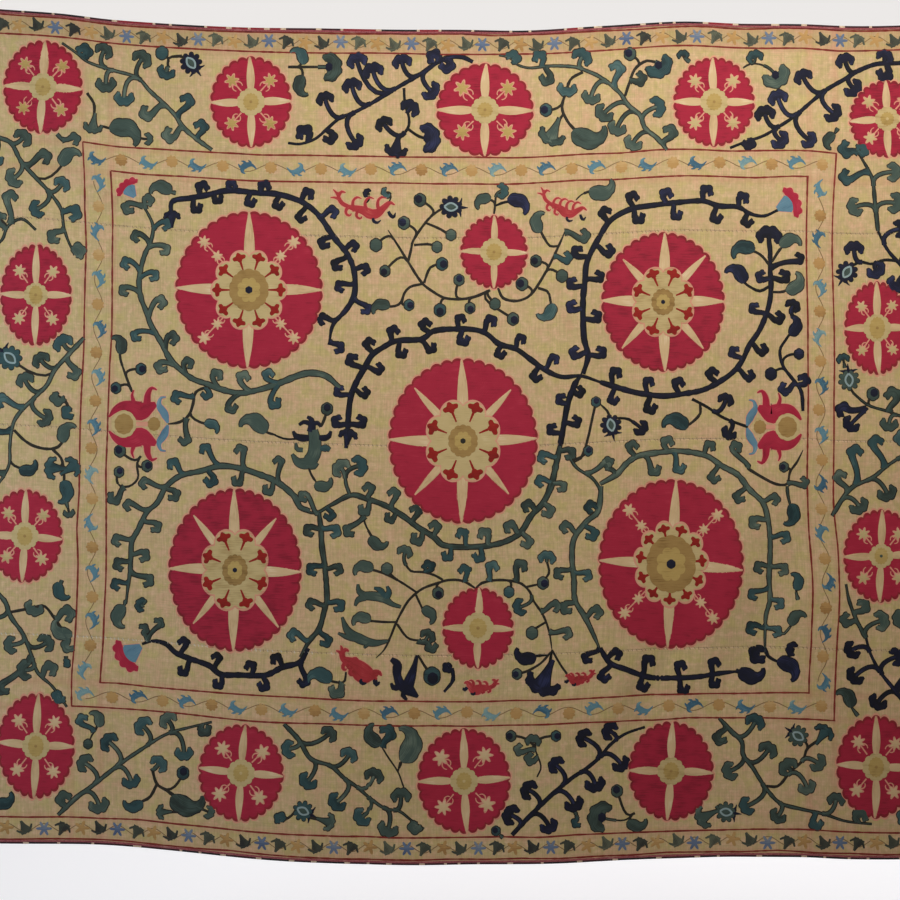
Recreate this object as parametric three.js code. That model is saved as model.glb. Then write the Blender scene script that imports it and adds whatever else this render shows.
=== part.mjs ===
// A suzani: a large embroidered cotton cloth, as it hangs from its top edge.
// Four loom-width panels lie one above the other and are sewn edge to edge, and a woven edging is
// folded over the rim. The cloth sags between the points that hold it, so its rim is uneven, and
// it stands forward in soft upright folds and slanting drags that deepen towards the hem.
// Frame: millimetres, X along the cloth, Z up, the embroidered face towards -Y, and the origin
// at the middle of the top edge.
import * as THREE from 'three';

// Driving dimensions of the cloth as cut, in millimetres.
const LENGTH = 2226;
const DROP = 1844;
const PANEL_COUNT = 4;
const CLOTH_THICK = 2;
const GAP = 0.3;

// The edging: how far its fold covers the cloth, and the thickness of its tape.
const EDGING_COVER = 9;
const TAPE_THICK = 1.1;

// How many steps the folds are worked out in, along the cloth and down one panel.
const STEPS_ALONG = 48;
const STEPS_DOWN = 9;

// How far the top edge and the hem hang below a level line through the middle of each.
const SAG = [
  { x: -1113, top: -55, hem: -57 },
  { x: -1000, top: -44, hem: -55 },
  { x: -870, top: -35, hem: -51 },
  { x: -760, top: -22, hem: -46 },
  { x: -605, top: -11, hem: -33 },
  { x: -450, top: -4, hem: -20 },
  { x: -300, top: -2, hem: -12 },
  { x: -120, top: 0, hem: -3 },
  { x: 10, top: 0, hem: 0 },
  { x: 165, top: 2, hem: -7 },
  { x: 320, top: -7, hem: -13 },
  { x: 495, top: -18, hem: -16 },
  { x: 625, top: -13, hem: -22 },
  { x: 760, top: -11, hem: -24 },
  { x: 860, top: -7, hem: -18 },
  { x: 980, top: -9, hem: -15 },
  { x: 1113, top: -18, hem: -18 },
];

// How far the cloth strays to the right at its left and right ends, by distance down.
const STRAY = [
  { down: 0, left: 0, right: 6 },
  { down: 270, left: 4, right: 4 },
  { down: 450, left: 11, right: -4 },
  { down: 710, left: 9, right: -4 },
  { down: 890, left: 0, right: -2 },
  { down: 1040, left: -4, right: -4 },
  { down: 1240, left: -7, right: 11 },
  { down: 1370, left: -11, right: 4 },
  { down: 1500, left: -20, right: 0 },
  { down: 1844, left: -20, right: 2 },
];

// Upright folds: where each meets the top edge and the hem, its half width, and how far it
// stands forward at each, or back where that is below zero.
const FOLDS = [
  { top_x: -1010, hem_x: -1000, half: 140, top: 3, hem: 13 },
  { top_x: -640, hem_x: -690, half: 150, top: 1, hem: -8 },
  { top_x: -340, hem_x: -330, half: 130, top: 3, hem: 11 },
  { top_x: 60, hem_x: 20, half: 95, top: -1, hem: -13 },
  { top_x: 270, hem_x: 240, half: 120, top: 4, hem: 10 },
  { top_x: 560, hem_x: 500, half: 130, top: 0, hem: -8 },
  { top_x: 800, hem_x: 750, half: 140, top: 4, hem: 11 },
  { top_x: 1070, hem_x: 1060, half: 110, top: 1, hem: -5 },
];
const HEM_STANDS_OFF = 17;

// Slanting drags: their two ends, half width, and how far they stand forward or back.
const DRAGS = [
  { from_x: 759, from_down: 1130, to_x: 600, to_down: 1500, half: 44, forward: -7 },
  { from_x: 690, from_down: 1010, to_x: 520, to_down: 1420, half: 48, forward: 7 },
  { from_x: 540, from_down: 1290, to_x: 330, to_down: 1640, half: 48, forward: -5 },
  { from_x: -1000, from_down: 90, to_x: -850, to_down: 440, half: 44, forward: -7 },
  { from_x: -930, from_down: 60, to_x: -760, to_down: 400, half: 46, forward: 5 },
  { from_x: 930, from_down: 120, to_x: 850, to_down: 520, half: 50, forward: -4 },
];

const COLOURS = { ground: 0xbfa67d, edging: 0x6a2735 };

// A smooth curve through the rows of a table: `key` is read along, `column` is the value there.
function through(rows, key, column, at) {
  const last = rows.length - 1;
  let i = 0;
  while (i < last - 1 && at > rows[i + 1][key]) i += 1;
  const slope = (k) => {
    const before = rows[Math.max(k - 1, 0)];
    const after = rows[Math.min(k + 1, last)];
    return (after[column] - before[column]) / (after[key] - before[key]);
  };
  const span = rows[i + 1][key] - rows[i][key];
  const u = Math.min(Math.max((at - rows[i][key]) / span, 0), 1);
  const start = (1 + 2 * u) * (1 - u) ** 2 * rows[i][column];
  const end = u * u * (3 - 2 * u) * rows[i + 1][column];
  const leaving = u * (1 - u) ** 2 * span * slope(i);
  const arriving = u * u * (u - 1) * span * slope(i + 1);
  return start + end + leaving + arriving;
}

const blend = (a, b, u) => a + (b - a) * u;
const swell = (distance, half) => Math.exp(-((distance / half) ** 2));

// How far forward a drag lifts the cloth at a place. It fades out towards its two ends.
function dragLift(drag, x, down) {
  const run = new THREE.Vector2(drag.to_x - drag.from_x, drag.to_down - drag.from_down);
  const offset = new THREE.Vector2(x - drag.from_x, down - drag.from_down);
  const along = Math.min(Math.max(offset.dot(run) / run.lengthSq(), 0), 1);
  const away = offset.sub(run.multiplyScalar(along)).length();
  return drag.forward * Math.sin(Math.PI * blend(0.15, 0.85, along)) * swell(away, drag.half);
}

// How far the back of the cloth stands in front of the top edge's plane.
function standOff(x, down) {
  const u = down / DROP;
  const deepening = u * u * (3 - 2 * u);
  let forward = HEM_STANDS_OFF * deepening;
  for (const fold of FOLDS) {
    const centre = blend(fold.top_x, fold.hem_x, u);
    forward += blend(fold.top, fold.hem, deepening) * swell(x - centre, fold.half);
  }
  for (const drag of DRAGS) forward += dragLift(drag, x, down);
  return forward;
}

// Where a point of the flat cloth goes when it hangs: `x` along, `down` from the top edge, and
// `lift` in front of the cloth's back face.
function hung(x, down, lift) {
  const sag = blend(through(SAG, 'x', 'top', x), through(SAG, 'x', 'hem', x), down / DROP);
  const left = through(STRAY, 'down', 'left', down);
  const right = through(STRAY, 'down', 'right', down);
  const stray = blend(left, right, x / LENGTH + 0.5);
  return new THREE.Vector3(x + stray, -standOff(x, down) - lift, -down - sag);
}

// A closed strip or sheet, drawn with one step per station and put where `place` says.
// `place` turns a vertex into the flat cloth's { x, down, lift }.
function hang(geometry, place) {
  const vertices = geometry.getAttribute('position');
  for (let i = 0; i < vertices.count; i += 1) {
    const flat = place(vertices.getX(i), vertices.getY(i), vertices.getZ(i));
    const point = hung(flat.x, flat.down, flat.lift);
    vertices.setXYZ(i, point.x, point.y, point.z);
  }
  geometry.computeVertexNormals();
  return geometry;
}

function piece(name, geometry, colour) {
  const material = new THREE.MeshStandardMaterial({ color: colour, roughness: 0.9, metalness: 0 });
  const mesh = new THREE.Mesh(geometry, material);
  mesh.name = name;
  return mesh;
}

// Even stations from `from` to `to`, both included.
function stations(from, to, steps) {
  return Array.from({ length: steps + 1 }, (_, k) => blend(from, to, k / steps));
}

// The cloth's own rim stops inside the fold of the edging. A station at the edging's inner edge
// lets cloth and edging bend along the same lines.
const CLOTH_RIM = TAPE_THICK + GAP;
const ALONG = [
  -LENGTH / 2,
  ...stations(EDGING_COVER - LENGTH / 2, LENGTH / 2 - EDGING_COVER, STEPS_ALONG),
  LENGTH / 2,
];
const PANEL_DROP = DROP / PANEL_COUNT;

// The stations down one panel, from the seam or rim above it to the seam or rim below.
function panelStations(index) {
  const top = index * PANEL_DROP;
  const bottom = top + PANEL_DROP;
  if (index === 0) return [top, ...stations(EDGING_COVER, bottom, STEPS_DOWN)];
  if (index === PANEL_COUNT - 1) return [...stations(top, DROP - EDGING_COVER, STEPS_DOWN), DROP];
  return stations(top, bottom, STEPS_DOWN);
}

// One loom-width panel, lying along the whole cloth. Its long edges stand half a gap from the
// seams, and its outer edges stop at the cloth's rim.
function panel(index) {
  const down = panelStations(index);
  const name = `panel_${index + 1}`;
  const top = index === 0 ? CLOTH_RIM : down[0] + GAP / 2;
  const bottom = index === PANEL_COUNT - 1 ? DROP - CLOTH_RIM : down.at(-1) - GAP / 2;
  const half = LENGTH / 2 - CLOTH_RIM;
  const across = ALONG.length - 1;
  const rows = down.length - 1;
  const slab = new THREE.BoxGeometry(across, 1, rows, across, 1, rows);
  slab.translate(across / 2, 0, -rows / 2);
  const place = (column, face, row) => ({
    x: Math.min(Math.max(ALONG[Math.round(column)], -half), half),
    down: Math.min(Math.max(down[Math.round(-row)], top), bottom),
    lift: face < 0 ? CLOTH_THICK : 0,
  });
  return piece(name, hang(slab, place), COLOURS.ground);
}

// The folded tape's section: its first measure runs inwards from the rim and its second forward
// from the cloth's back face. The slot between its two sides holds the cloth's rim.
function tapeSection() {
  const back = -GAP - TAPE_THICK;
  const front = CLOTH_THICK + GAP + TAPE_THICK;
  const outline = [
    [0, back],
    [EDGING_COVER, back],
    [EDGING_COVER, -GAP],
    [TAPE_THICK, -GAP],
    [TAPE_THICK, CLOTH_THICK + GAP],
    [EDGING_COVER, CLOTH_THICK + GAP],
    [EDGING_COVER, front],
    [0, front],
  ];
  return new THREE.Shape(outline.map(([inwards, lift]) => new THREE.Vector2(inwards, lift)));
}

// A length of edging that runs through `steps`, a list of stations along the rim. `place` turns
// a distance inwards, a lift and a station into the flat cloth's { x, down, lift }.
function edging(name, steps, place) {
  const depth = steps.length - 1;
  const strip = new THREE.ExtrudeGeometry(tapeSection(), { depth, steps: depth, bevelEnabled: false });
  const onRim = (inwards, lift, step) => place(inwards, lift, steps[Math.round(step)]);
  return piece(name, hang(strip, onRim), COLOURS.edging);
}

// The side lengths of the edging stop short of the long ones, which run corner to corner.
const SIDE_END = EDGING_COVER + GAP;
const seams = Array.from({ length: PANEL_COUNT }, (_, index) => panelStations(index)).flat();
const UPRIGHT = [
  SIDE_END,
  ...new Set(seams.filter((down) => down > 2 * SIDE_END && down < DROP - 2 * SIDE_END)),
  DROP - SIDE_END,
];
const EASTWARD = [...ALONG];
const WESTWARD = ALONG.toReversed();

const suzani = new THREE.Group();
for (let index = 0; index < PANEL_COUNT; index += 1) suzani.add(panel(index));
suzani.add(
  edging('edging_top', WESTWARD, (inwards, lift, x) => ({ x, down: inwards, lift })),
  edging('edging_hem', EASTWARD, (inwards, lift, x) => ({ x, down: DROP - inwards, lift })),
  edging('edging_left', UPRIGHT, (inwards, lift, down) => ({ x: inwards - LENGTH / 2, down, lift })),
  edging('edging_right', UPRIGHT.toReversed(), (inwards, lift, down) => ({
    x: LENGTH / 2 - inwards,
    down,
    lift,
  })),
);

export default suzani;
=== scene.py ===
# A suzani: a large embroidered cotton cloth, dressed for the camera as it hangs from its top edge.
# Metres, X along the cloth, Z up, the embroidered face towards -Y, and the origin at the middle of
# the top edge.
import math

import bmesh
import bpy
import numpy as np
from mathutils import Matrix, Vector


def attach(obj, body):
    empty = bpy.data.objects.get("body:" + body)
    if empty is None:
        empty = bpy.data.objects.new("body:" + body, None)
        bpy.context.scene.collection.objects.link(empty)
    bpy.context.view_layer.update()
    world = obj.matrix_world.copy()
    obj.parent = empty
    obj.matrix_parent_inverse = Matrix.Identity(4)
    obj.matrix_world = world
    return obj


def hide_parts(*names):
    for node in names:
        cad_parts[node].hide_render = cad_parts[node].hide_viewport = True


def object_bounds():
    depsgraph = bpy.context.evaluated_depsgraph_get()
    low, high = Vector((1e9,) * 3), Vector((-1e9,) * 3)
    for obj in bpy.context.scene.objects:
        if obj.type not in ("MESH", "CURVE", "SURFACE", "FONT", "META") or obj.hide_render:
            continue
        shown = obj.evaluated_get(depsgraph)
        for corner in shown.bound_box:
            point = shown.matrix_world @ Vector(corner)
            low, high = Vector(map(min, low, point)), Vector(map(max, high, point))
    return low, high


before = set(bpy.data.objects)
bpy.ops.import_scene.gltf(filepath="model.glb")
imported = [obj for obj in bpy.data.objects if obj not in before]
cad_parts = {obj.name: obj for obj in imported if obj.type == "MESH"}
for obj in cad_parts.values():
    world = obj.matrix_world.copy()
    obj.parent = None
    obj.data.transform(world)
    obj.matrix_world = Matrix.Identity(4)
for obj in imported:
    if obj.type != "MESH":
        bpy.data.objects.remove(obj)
CAD_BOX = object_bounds()

# The four cotton panels. Handspun, handwoven cotton, cut in loom widths that lie one above the
# other and are sewn edge to edge. Old and unevenly faded, with stains, and a little pink where the
# red silk has bled. It sags between the points that hold it and stands forward in soft folds.
LENGTH = 2.226
DROP = 1.844
PANEL_COUNT = 4
PANEL_DROP = DROP / PANEL_COUNT
CLOTH_BACK = 0.0005
CLOTH_FRONT = 0.0013
CLOTH_STEP = 0.009

# Along the cloth: how far the top edge and the hem hang below a level line.
SAG = [
    (-1.113, -0.055, -0.057),
    (-1.000, -0.044, -0.055),
    (-0.870, -0.035, -0.051),
    (-0.760, -0.022, -0.046),
    (-0.605, -0.011, -0.033),
    (-0.450, -0.004, -0.020),
    (-0.300, -0.002, -0.012),
    (-0.120, 0.000, -0.003),
    (0.010, 0.000, 0.000),
    (0.165, 0.002, -0.007),
    (0.320, -0.007, -0.013),
    (0.495, -0.018, -0.016),
    (0.625, -0.013, -0.022),
    (0.760, -0.011, -0.024),
    (0.860, -0.007, -0.018),
    (0.980, -0.009, -0.015),
    (1.113, -0.018, -0.018),
]
SAG_TOP, SAG_HEM = 1, 2

# Down the cloth: how far it strays to the right at its left and right ends.
STRAY = [
    (0.000, 0.000, 0.006),
    (0.270, 0.004, 0.004),
    (0.450, 0.011, -0.004),
    (0.710, 0.009, -0.004),
    (0.890, 0.000, -0.002),
    (1.040, -0.004, -0.004),
    (1.240, -0.007, 0.011),
    (1.370, -0.011, 0.004),
    (1.500, -0.020, 0.000),
    (1.844, -0.020, 0.002),
]
STRAY_LEFT, STRAY_RIGHT = 1, 2

# Upright folds: place at the top edge and at the hem, half width, and how far each stands forward
# at the top and at the hem.
FOLDS = [
    (-1.010, -1.000, 0.140, 0.003, 0.013),
    (-0.640, -0.690, 0.150, 0.001, -0.008),
    (-0.340, -0.330, 0.130, 0.003, 0.011),
    (0.060, 0.020, 0.095, -0.001, -0.013),
    (0.270, 0.240, 0.120, 0.004, 0.010),
    (0.560, 0.500, 0.130, 0.000, -0.008),
    (0.800, 0.750, 0.140, 0.004, 0.011),
    (1.070, 1.060, 0.110, 0.001, -0.005),
]
HEM_STANDS_OFF = 0.017

# Slanting drags and creases: along and down at the two ends, half width, how far each stands
# forward or back. The first six are the main ones, and the rest are the cloth's finer creases.
DRAGS = [
    (0.759, 1.130, 0.600, 1.500, 0.044, -0.007),
    (0.690, 1.010, 0.520, 1.420, 0.048, 0.007),
    (0.540, 1.290, 0.330, 1.640, 0.048, -0.005),
    (-1.000, 0.090, -0.850, 0.440, 0.044, -0.007),
    (-0.930, 0.060, -0.760, 0.400, 0.046, 0.005),
    (0.930, 0.120, 0.850, 0.520, 0.050, -0.004),
    (0.730, 0.690, 0.682, 0.885, 0.034, -0.004),
    (-0.055, 0.427, -0.169, 0.529, 0.032, -0.004),
    (0.040, 0.995, 0.033, 1.260, 0.020, -0.004),
    (-0.561, 0.225, -0.484, 0.324, 0.026, -0.003),
    (0.341, 0.775, 0.345, 0.870, 0.020, -0.003),
    (-0.176, 1.600, -0.180, 1.815, 0.024, -0.004),
    (-0.238, 1.590, -0.240, 1.820, 0.026, 0.003),
    (0.780, 0.200, 0.800, 0.430, 0.024, 0.003),
    (0.420, 1.360, 0.330, 1.560, 0.022, 0.003),
    (0.480, 1.380, 0.400, 1.600, 0.020, -0.003),
]


def through(rows, column, at):
    """The value in `column` of a table at `at`, on a smooth curve through its rows."""
    table = np.array(rows)
    keys, values = table[:, 0], table[:, column]
    last = len(rows) - 1
    after = np.minimum(np.arange(last + 1) + 1, last)
    before = np.maximum(np.arange(last + 1) - 1, 0)
    slopes = (values[after] - values[before]) / (keys[after] - keys[before])
    i = np.searchsorted(keys[1:-1], at)
    span = keys[i + 1] - keys[i]
    u = np.clip((at - keys[i]) / span, 0, 1)
    start = (1 + 2 * u) * (1 - u) ** 2 * values[i]
    end = u * u * (3 - 2 * u) * values[i + 1]
    leaving = u * (1 - u) ** 2 * span * slopes[i]
    arriving = u * u * (u - 1) * span * slopes[i + 1]
    return start + end + leaving + arriving


def swell(distance, half):
    return np.exp(-((distance / half) ** 2))


def stand_off(x, down):
    """How far the cloth's back stands in front of the top edge's plane."""
    u = down / DROP
    deepening = u * u * (3 - 2 * u)
    forward = HEM_STANDS_OFF * deepening
    for top_x, hem_x, half, top, hem in FOLDS:
        centre = top_x + (hem_x - top_x) * u
        forward = forward + (top + (hem - top) * deepening) * swell(x - centre, half)
    for from_x, from_down, to_x, to_down, half, lift in DRAGS:
        run_x, run_down = to_x - from_x, to_down - from_down
        square = run_x**2 + run_down**2
        along = np.clip(((x - from_x) * run_x + (down - from_down) * run_down) / square, 0, 1)
        away = np.hypot(x - from_x - along * run_x, down - from_down - along * run_down)
        forward = forward + lift * np.sin(math.pi * (0.15 + 0.7 * along)) * swell(away, half)
    return forward


def shift(x, down):
    """How far a point of the flat cloth goes to the right and down when the cloth hangs."""
    top, hem = through(SAG, SAG_TOP, x), through(SAG, SAG_HEM, x)
    left, right = through(STRAY, STRAY_LEFT, down), through(STRAY, STRAY_RIGHT, down)
    return left + (right - left) * (x / LENGTH + 0.5), top + (hem - top) * down / DROP


def hung(x, down, lift):
    """Where points of the flat cloth go when it hangs, `lift` in front of its back."""
    right, lower = shift(x, down)
    return np.column_stack([x + right, -stand_off(x, down) - lift, -down - lower])


class Shade:
    """One socket of a material. Sums and products add Math nodes, and node() adds any other."""

    def __init__(self, tree, socket=None):
        self.tree = tree
        self.socket = socket

    def node(self, kind, settings, sockets, output=0):
        made = self.tree.nodes.new(kind)
        for name, value in settings.items():
            setattr(made, name, value)
        for key, value in sockets.items():
            if isinstance(value, Shade):
                self.tree.links.new(value.socket, made.inputs[key])
            else:
                made.inputs[key].default_value = value
        return Shade(self.tree, made.outputs[output])

    def math(self, operation, one, other):
        return self.node("ShaderNodeMath", {"operation": operation}, {0: one, 1: other})

    def __add__(self, other):
        return self.math("ADD", self, other)

    def __radd__(self, other):
        return self.math("ADD", other, self)

    def __sub__(self, other):
        return self.math("SUBTRACT", self, other)

    def __rsub__(self, other):
        return self.math("SUBTRACT", other, self)

    def __mul__(self, other):
        return self.math("MULTIPLY", self, other)

    def __rmul__(self, other):
        return self.math("MULTIPLY", other, self)

    def wave(self):
        """The sine of an angle in radians."""
        return self.math("SINE", self, 0)

    def away(self):
        """How far a value is from zero."""
        return self.math("ABSOLUTE", self, 0)

    def step(self, low, high):
        """0 below `low`, 1 above `high`, and smooth between them. `low` may be the greater."""
        return self.node(
            "ShaderNodeMapRange",
            {"interpolation_type": "SMOOTHSTEP"},
            {"Value": self, "From Min": low, "From Max": high},
        )

    def parts(self):
        """The three numbers of a vector."""
        split = self.node("ShaderNodeSeparateXYZ", {}, {0: self})
        sockets = split.socket.node.outputs
        return [Shade(self.tree, socket) for socket in sockets]

    def vector(self, x, y, z=0.0):
        return self.node("ShaderNodeCombineXYZ", {}, {0: x, 1: y, 2: z})

    def noise(self, at, scale, detail=2.0, rough=0.5):
        """A cloudy value round 0.5 at a place given as a vector."""
        sockets = {"Vector": at, "Scale": scale, "Detail": detail, "Roughness": rough}
        return self.node("ShaderNodeTexNoise", {}, sockets)

    def blend(self, mask, one, other, way="MIX"):
        """The colour `one` where the mask is 0 and `other` where it is 1."""
        settings = {"data_type": "RGBA", "blend_type": way}
        return self.node("ShaderNodeMix", settings, {0: mask, 6: one, 7: other}, output=2)

    def attribute(self, name):
        return self.node("ShaderNodeAttribute", {"attribute_name": name}, {}, output=1)


def dye(red, green, blue):
    """A colour as it is seen, in 0 to 255, as the linear values that a material takes."""
    seen = [value / 255 for value in (red, green, blue)]
    return (*[v / 12.92 if v <= 0.04045 else ((v + 0.055) / 1.055) ** 2.4 for v in seen], 1.0)


def finish(name, roughness, sheen=0.0):
    """An empty material: its node tree, its shader, and a Shade to start expressions from."""
    material = bpy.data.materials.new(name)
    material.use_nodes = True
    tree = material.node_tree
    shader = tree.nodes["Principled BSDF"]
    shader.inputs["Roughness"].default_value = roughness
    shader.inputs["Specular IOR Level"].default_value = 0.25
    shader.inputs["Sheen Weight"].default_value = sheen
    return material, tree, shader, Shade(tree)


def dress(tree, shader, start, colour, height, strength, distance):
    """Joins a colour and a height to the shader, the height through a Bump node."""
    tree.links.new(colour.socket, shader.inputs["Base Color"])
    sockets = {"Height": height, "Strength": strength, "Distance": distance}
    bump = start.node("ShaderNodeBump", {}, sockets)
    tree.links.new(bump.socket, shader.inputs["Normal"])


# Distances down and in from the rim at which red lines bleed into the cotton.
BLED_ROWS = (0.010, 0.053, 0.287, 0.346, 1.484, 1.539, 1.783, 1.834)
BLED_COLUMNS = (-0.826, -0.763, 0.777, 0.834)


def cotton():
    material, tree, shader, start = finish("handwoven_cotton", 0.92, 0.15)
    place = start.attribute("flat")
    x, down, _ = place.parts()
    weft = start.noise(start.vector(x * 14, down * 420), 1.0, 3.0)
    warp = start.noise(start.vector(x * 420, down * 16), 1.0, 3.0)
    clouds = start.noise(place, 5.5, 3.0, 0.6)
    blotches = start.noise(place, 26.0, 3.0, 0.6)
    fading = start.noise(start.vector(x * 0.8, down * 0.8, 3.7), 1.0)
    flecks = start.noise(place, 75.0, 3.0, 0.65)
    ripples = start.noise(start.vector(x * 7, down * 10, 1.9), 1.0, 3.0, 0.55)
    colour = start.blend(clouds.step(0.3, 0.7), dye(212, 182, 136), dye(196, 170, 126))
    colour = start.blend(fading.step(0.4, 0.62) * 0.5, colour, dye(212, 174, 136))
    colour = start.blend(blotches.step(0.50, 0.64) * 0.65, colour, dye(200, 182, 114))
    colour = start.blend(blotches.step(0.49, 0.36) * 0.65, colour, dye(220, 172, 142))
    colour = start.blend(flecks.step(0.51, 0.64) * 0.5, colour, dye(186, 166, 112))
    colour = start.blend(flecks.step(0.48, 0.35) * 0.5, colour, dye(232, 192, 160))
    colour = start.blend(warp.step(0.40, 0.72) * 0.26, colour, dye(170, 144, 102))
    colour = start.blend(warp.step(0.58, 0.30) * 0.22, colour, dye(230, 204, 162))
    colour = start.blend(weft.step(0.42, 0.70) * 0.26, colour, dye(170, 144, 104))
    colour = start.blend(down.step(0.075, 0.03) * 0.3, colour, dye(150, 120, 86))
    stains = start.noise(place, 11.0, 4.0, 0.7).step(0.64, 0.76)
    colour = start.blend(stains * 0.35, colour, dye(160, 124, 80))
    bled = 0.0
    for edge in BLED_ROWS:
        bled = bled + (down - edge).away().step(0.014, 0.002)
    for edge in BLED_COLUMNS:
        bled = bled + (x - edge).away().step(0.012, 0.002)
    colour = start.blend(bled * 0.28, colour, dye(205, 140, 118))
    threads = (x * 5200).wave() * (down * 5200).wave()
    height = threads * 0.35 + weft * 0.8 + warp * 0.8 + ripples * 9.0
    dress(tree, shader, start, colour, height, 0.5, 0.0004)
    return material


def give(mesh, name, values):
    """Stores three numbers a point on a mesh, for its material to read."""
    mesh.attributes.new(name, "FLOAT_VECTOR", "POINT").data.foreach_set("vector", np.ravel(values))


def unwrap(mesh, corners):
    """Lays the mesh's faces out flat: one pair of numbers for each corner of each face."""
    mesh.uv_layers.new(name="OFBake").data.foreach_set("uv", np.ravel(corners))


def show(name, mesh):
    """Puts a mesh in the scene as one piece of the hanging."""
    for face in mesh.polygons:
        face.use_smooth = True
    piece = bpy.data.objects.new(name, mesh)
    bpy.context.scene.collection.objects.link(piece)
    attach(piece, "root")
    return piece


SEAM_DIP = 0.0005
SEAM_ROLL = (0.00006, 0.0014, 0.0040)
# In a panel's flat layout: how tall each face is, where the front one starts, and the rim's strip.
FACE_SHARE, FRONT_FROM = 0.49, 0.505
RIM_STRIP = (0.497, 0.497, 0.493, 0.493)
COTTON = cotton()


def panel(index):
    """One closed sheet of cotton, rolled over a little at its seams."""
    top, bottom = index * PANEL_DROP, (index + 1) * PANEL_DROP
    roll = np.array(SEAM_ROLL)
    rows = round(PANEL_DROP / CLOTH_STEP)
    inner = np.linspace(top + 2 * roll[-1], bottom - 2 * roll[-1], rows - 1)
    down = np.concatenate([top + roll, inner, (bottom - roll)[::-1]])
    edge = LENGTH / 2 - SEAM_ROLL[1]
    along = np.linspace(-edge, edge, round(LENGTH / CLOTH_STEP))
    rows, columns = len(down), len(along)
    x, d = np.tile(along, rows), np.repeat(down, columns)
    from_seam = np.minimum(d - top, bottom - d)
    dip = SEAM_DIP * swell(from_seam, roll[1])
    points = np.concatenate([hung(x, d, CLOTH_FRONT - dip), hung(x, d, CLOTH_BACK + dip * 0.4)])
    number = np.arange(rows * columns).reshape(rows, columns)
    a, b, c, e = number[:-1, :-1], number[1:, :-1], number[1:, 1:], number[:-1, 1:]
    front = np.stack([a, b, c, e], axis=-1).reshape(-1, 4)
    rim = np.concatenate([number[0, :-1], number[:-1, -1], number[-1, :0:-1], number[:0:-1, 0]])
    onward = np.roll(rim, -1)
    behind = rows * columns
    hem = np.column_stack([rim, onward, onward + behind, rim + behind])
    faces = np.concatenate([front, front[:, ::-1] + behind, hem])
    mesh = bpy.data.meshes.new(f"cloth_panel_{index + 1}")
    mesh.from_pydata(points.tolist(), [], faces.tolist())
    give(mesh, "flat", np.column_stack([np.tile(x, 2), np.tile(d, 2), np.repeat([0, 1], behind)]))
    sheet = np.column_stack([x / LENGTH + 0.5, (bottom - d) / PANEL_DROP])
    seen = sheet[front] * (1, FACE_SHARE) + (0, FRONT_FROM)
    hidden = sheet[front[:, ::-1]] * (1, FACE_SHARE)
    turn = np.linspace(0, 1, len(rim) + 1)
    strip = np.stack([turn[:-1], turn[1:], turn[1:], turn[:-1]], axis=1)
    strip = np.stack([strip, np.tile(RIM_STRIP, (len(rim), 1))], axis=-1)
    unwrap(mesh, np.concatenate([seen, hidden, strip]))
    mesh.materials.append(COTTON)
    piece = show(mesh.name, mesh)
    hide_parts(f"panel_{index + 1}")
    return piece


panels = [panel(index) for index in range(PANEL_COUNT)]


# The woven edging. A narrow band of silk and cotton, woven with blocks of maroon, black and ivory
# along its outer side and a mauve stripe inside, folded over the cloth's rim and sewn down.
TAPE_COVER = 0.0088
TAPE_STEP = 0.006
# In the tape's flat layout: how tall its long sides are, and the places and size of its two ends.
TAPE_SHARE, END_SIZE = 0.96, 0.008
FIRST_END, LAST_END = (0.02, 0.985), (0.06, 0.985)
BLOCK_LONG = (0.020, 0.085)
BLOCK_GAP = (0.004, 0.016)
# The tape's closed section: distance in from the rim, lift from the cloth's back, and its band.
FOLD, STRIPE, TAPE_INSIDE = 0, 1, 2
TAPE_SECTION = [
    (TAPE_COVER, -0.0003, TAPE_INSIDE),
    (0.0084, -0.0007, TAPE_INSIDE),
    (0.0050, -0.0008, TAPE_INSIDE),
    (0.0036, -0.0008, FOLD),
    (0.0014, -0.0008, FOLD),
    (0.0004, -0.0005, FOLD),
    (0.0000, 0.0003, FOLD),
    (0.0000, 0.0014, FOLD),
    (0.0004, 0.0022, FOLD),
    (0.0014, 0.0026, FOLD),
    (0.0036, 0.0027, FOLD),
    (0.0046, 0.0027, STRIPE),
    (0.0066, 0.0027, STRIPE),
    (0.0084, 0.0026, STRIPE),
    (TAPE_COVER, 0.0022, STRIPE),
    (0.0084, 0.0015, TAPE_INSIDE),
    (0.0050, 0.0015, TAPE_INSIDE),
    (0.0014, 0.0014, TAPE_INSIDE),
    (0.0012, 0.0009, TAPE_INSIDE),
    (0.0014, 0.0004, TAPE_INSIDE),
    (0.0050, 0.0003, TAPE_INSIDE),
]
# The one source of every chance difference from here on.
drawn = np.random.default_rng(41)


def uneven(count):
    """Chance differences round zero, none of them large."""
    return drawn.normal(0, 1, count).clip(-1.5, 1.5)


def tape_weave(name, plain, dark, light):
    material, tree, shader, start = finish(name, 0.75, 0.2)
    along, across, _ = start.attribute("thread").parts()
    fleck = start.noise(start.vector(along * 260, across * 900), 1.0, 2.0)
    worn = start.noise(start.vector(along * 30, across * 60), 1.0, 3.0)
    colour = start.blend(fleck.step(0.35, 0.7), plain, dark)
    colour = start.blend(worn.step(0.55, 0.75) * 0.6, colour, light)
    height = (along * 4200).wave() * 0.5 + (across * 6000).wave() * 0.5
    dress(tree, shader, start, colour, height, 0.5, 0.0003)
    return material


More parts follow.
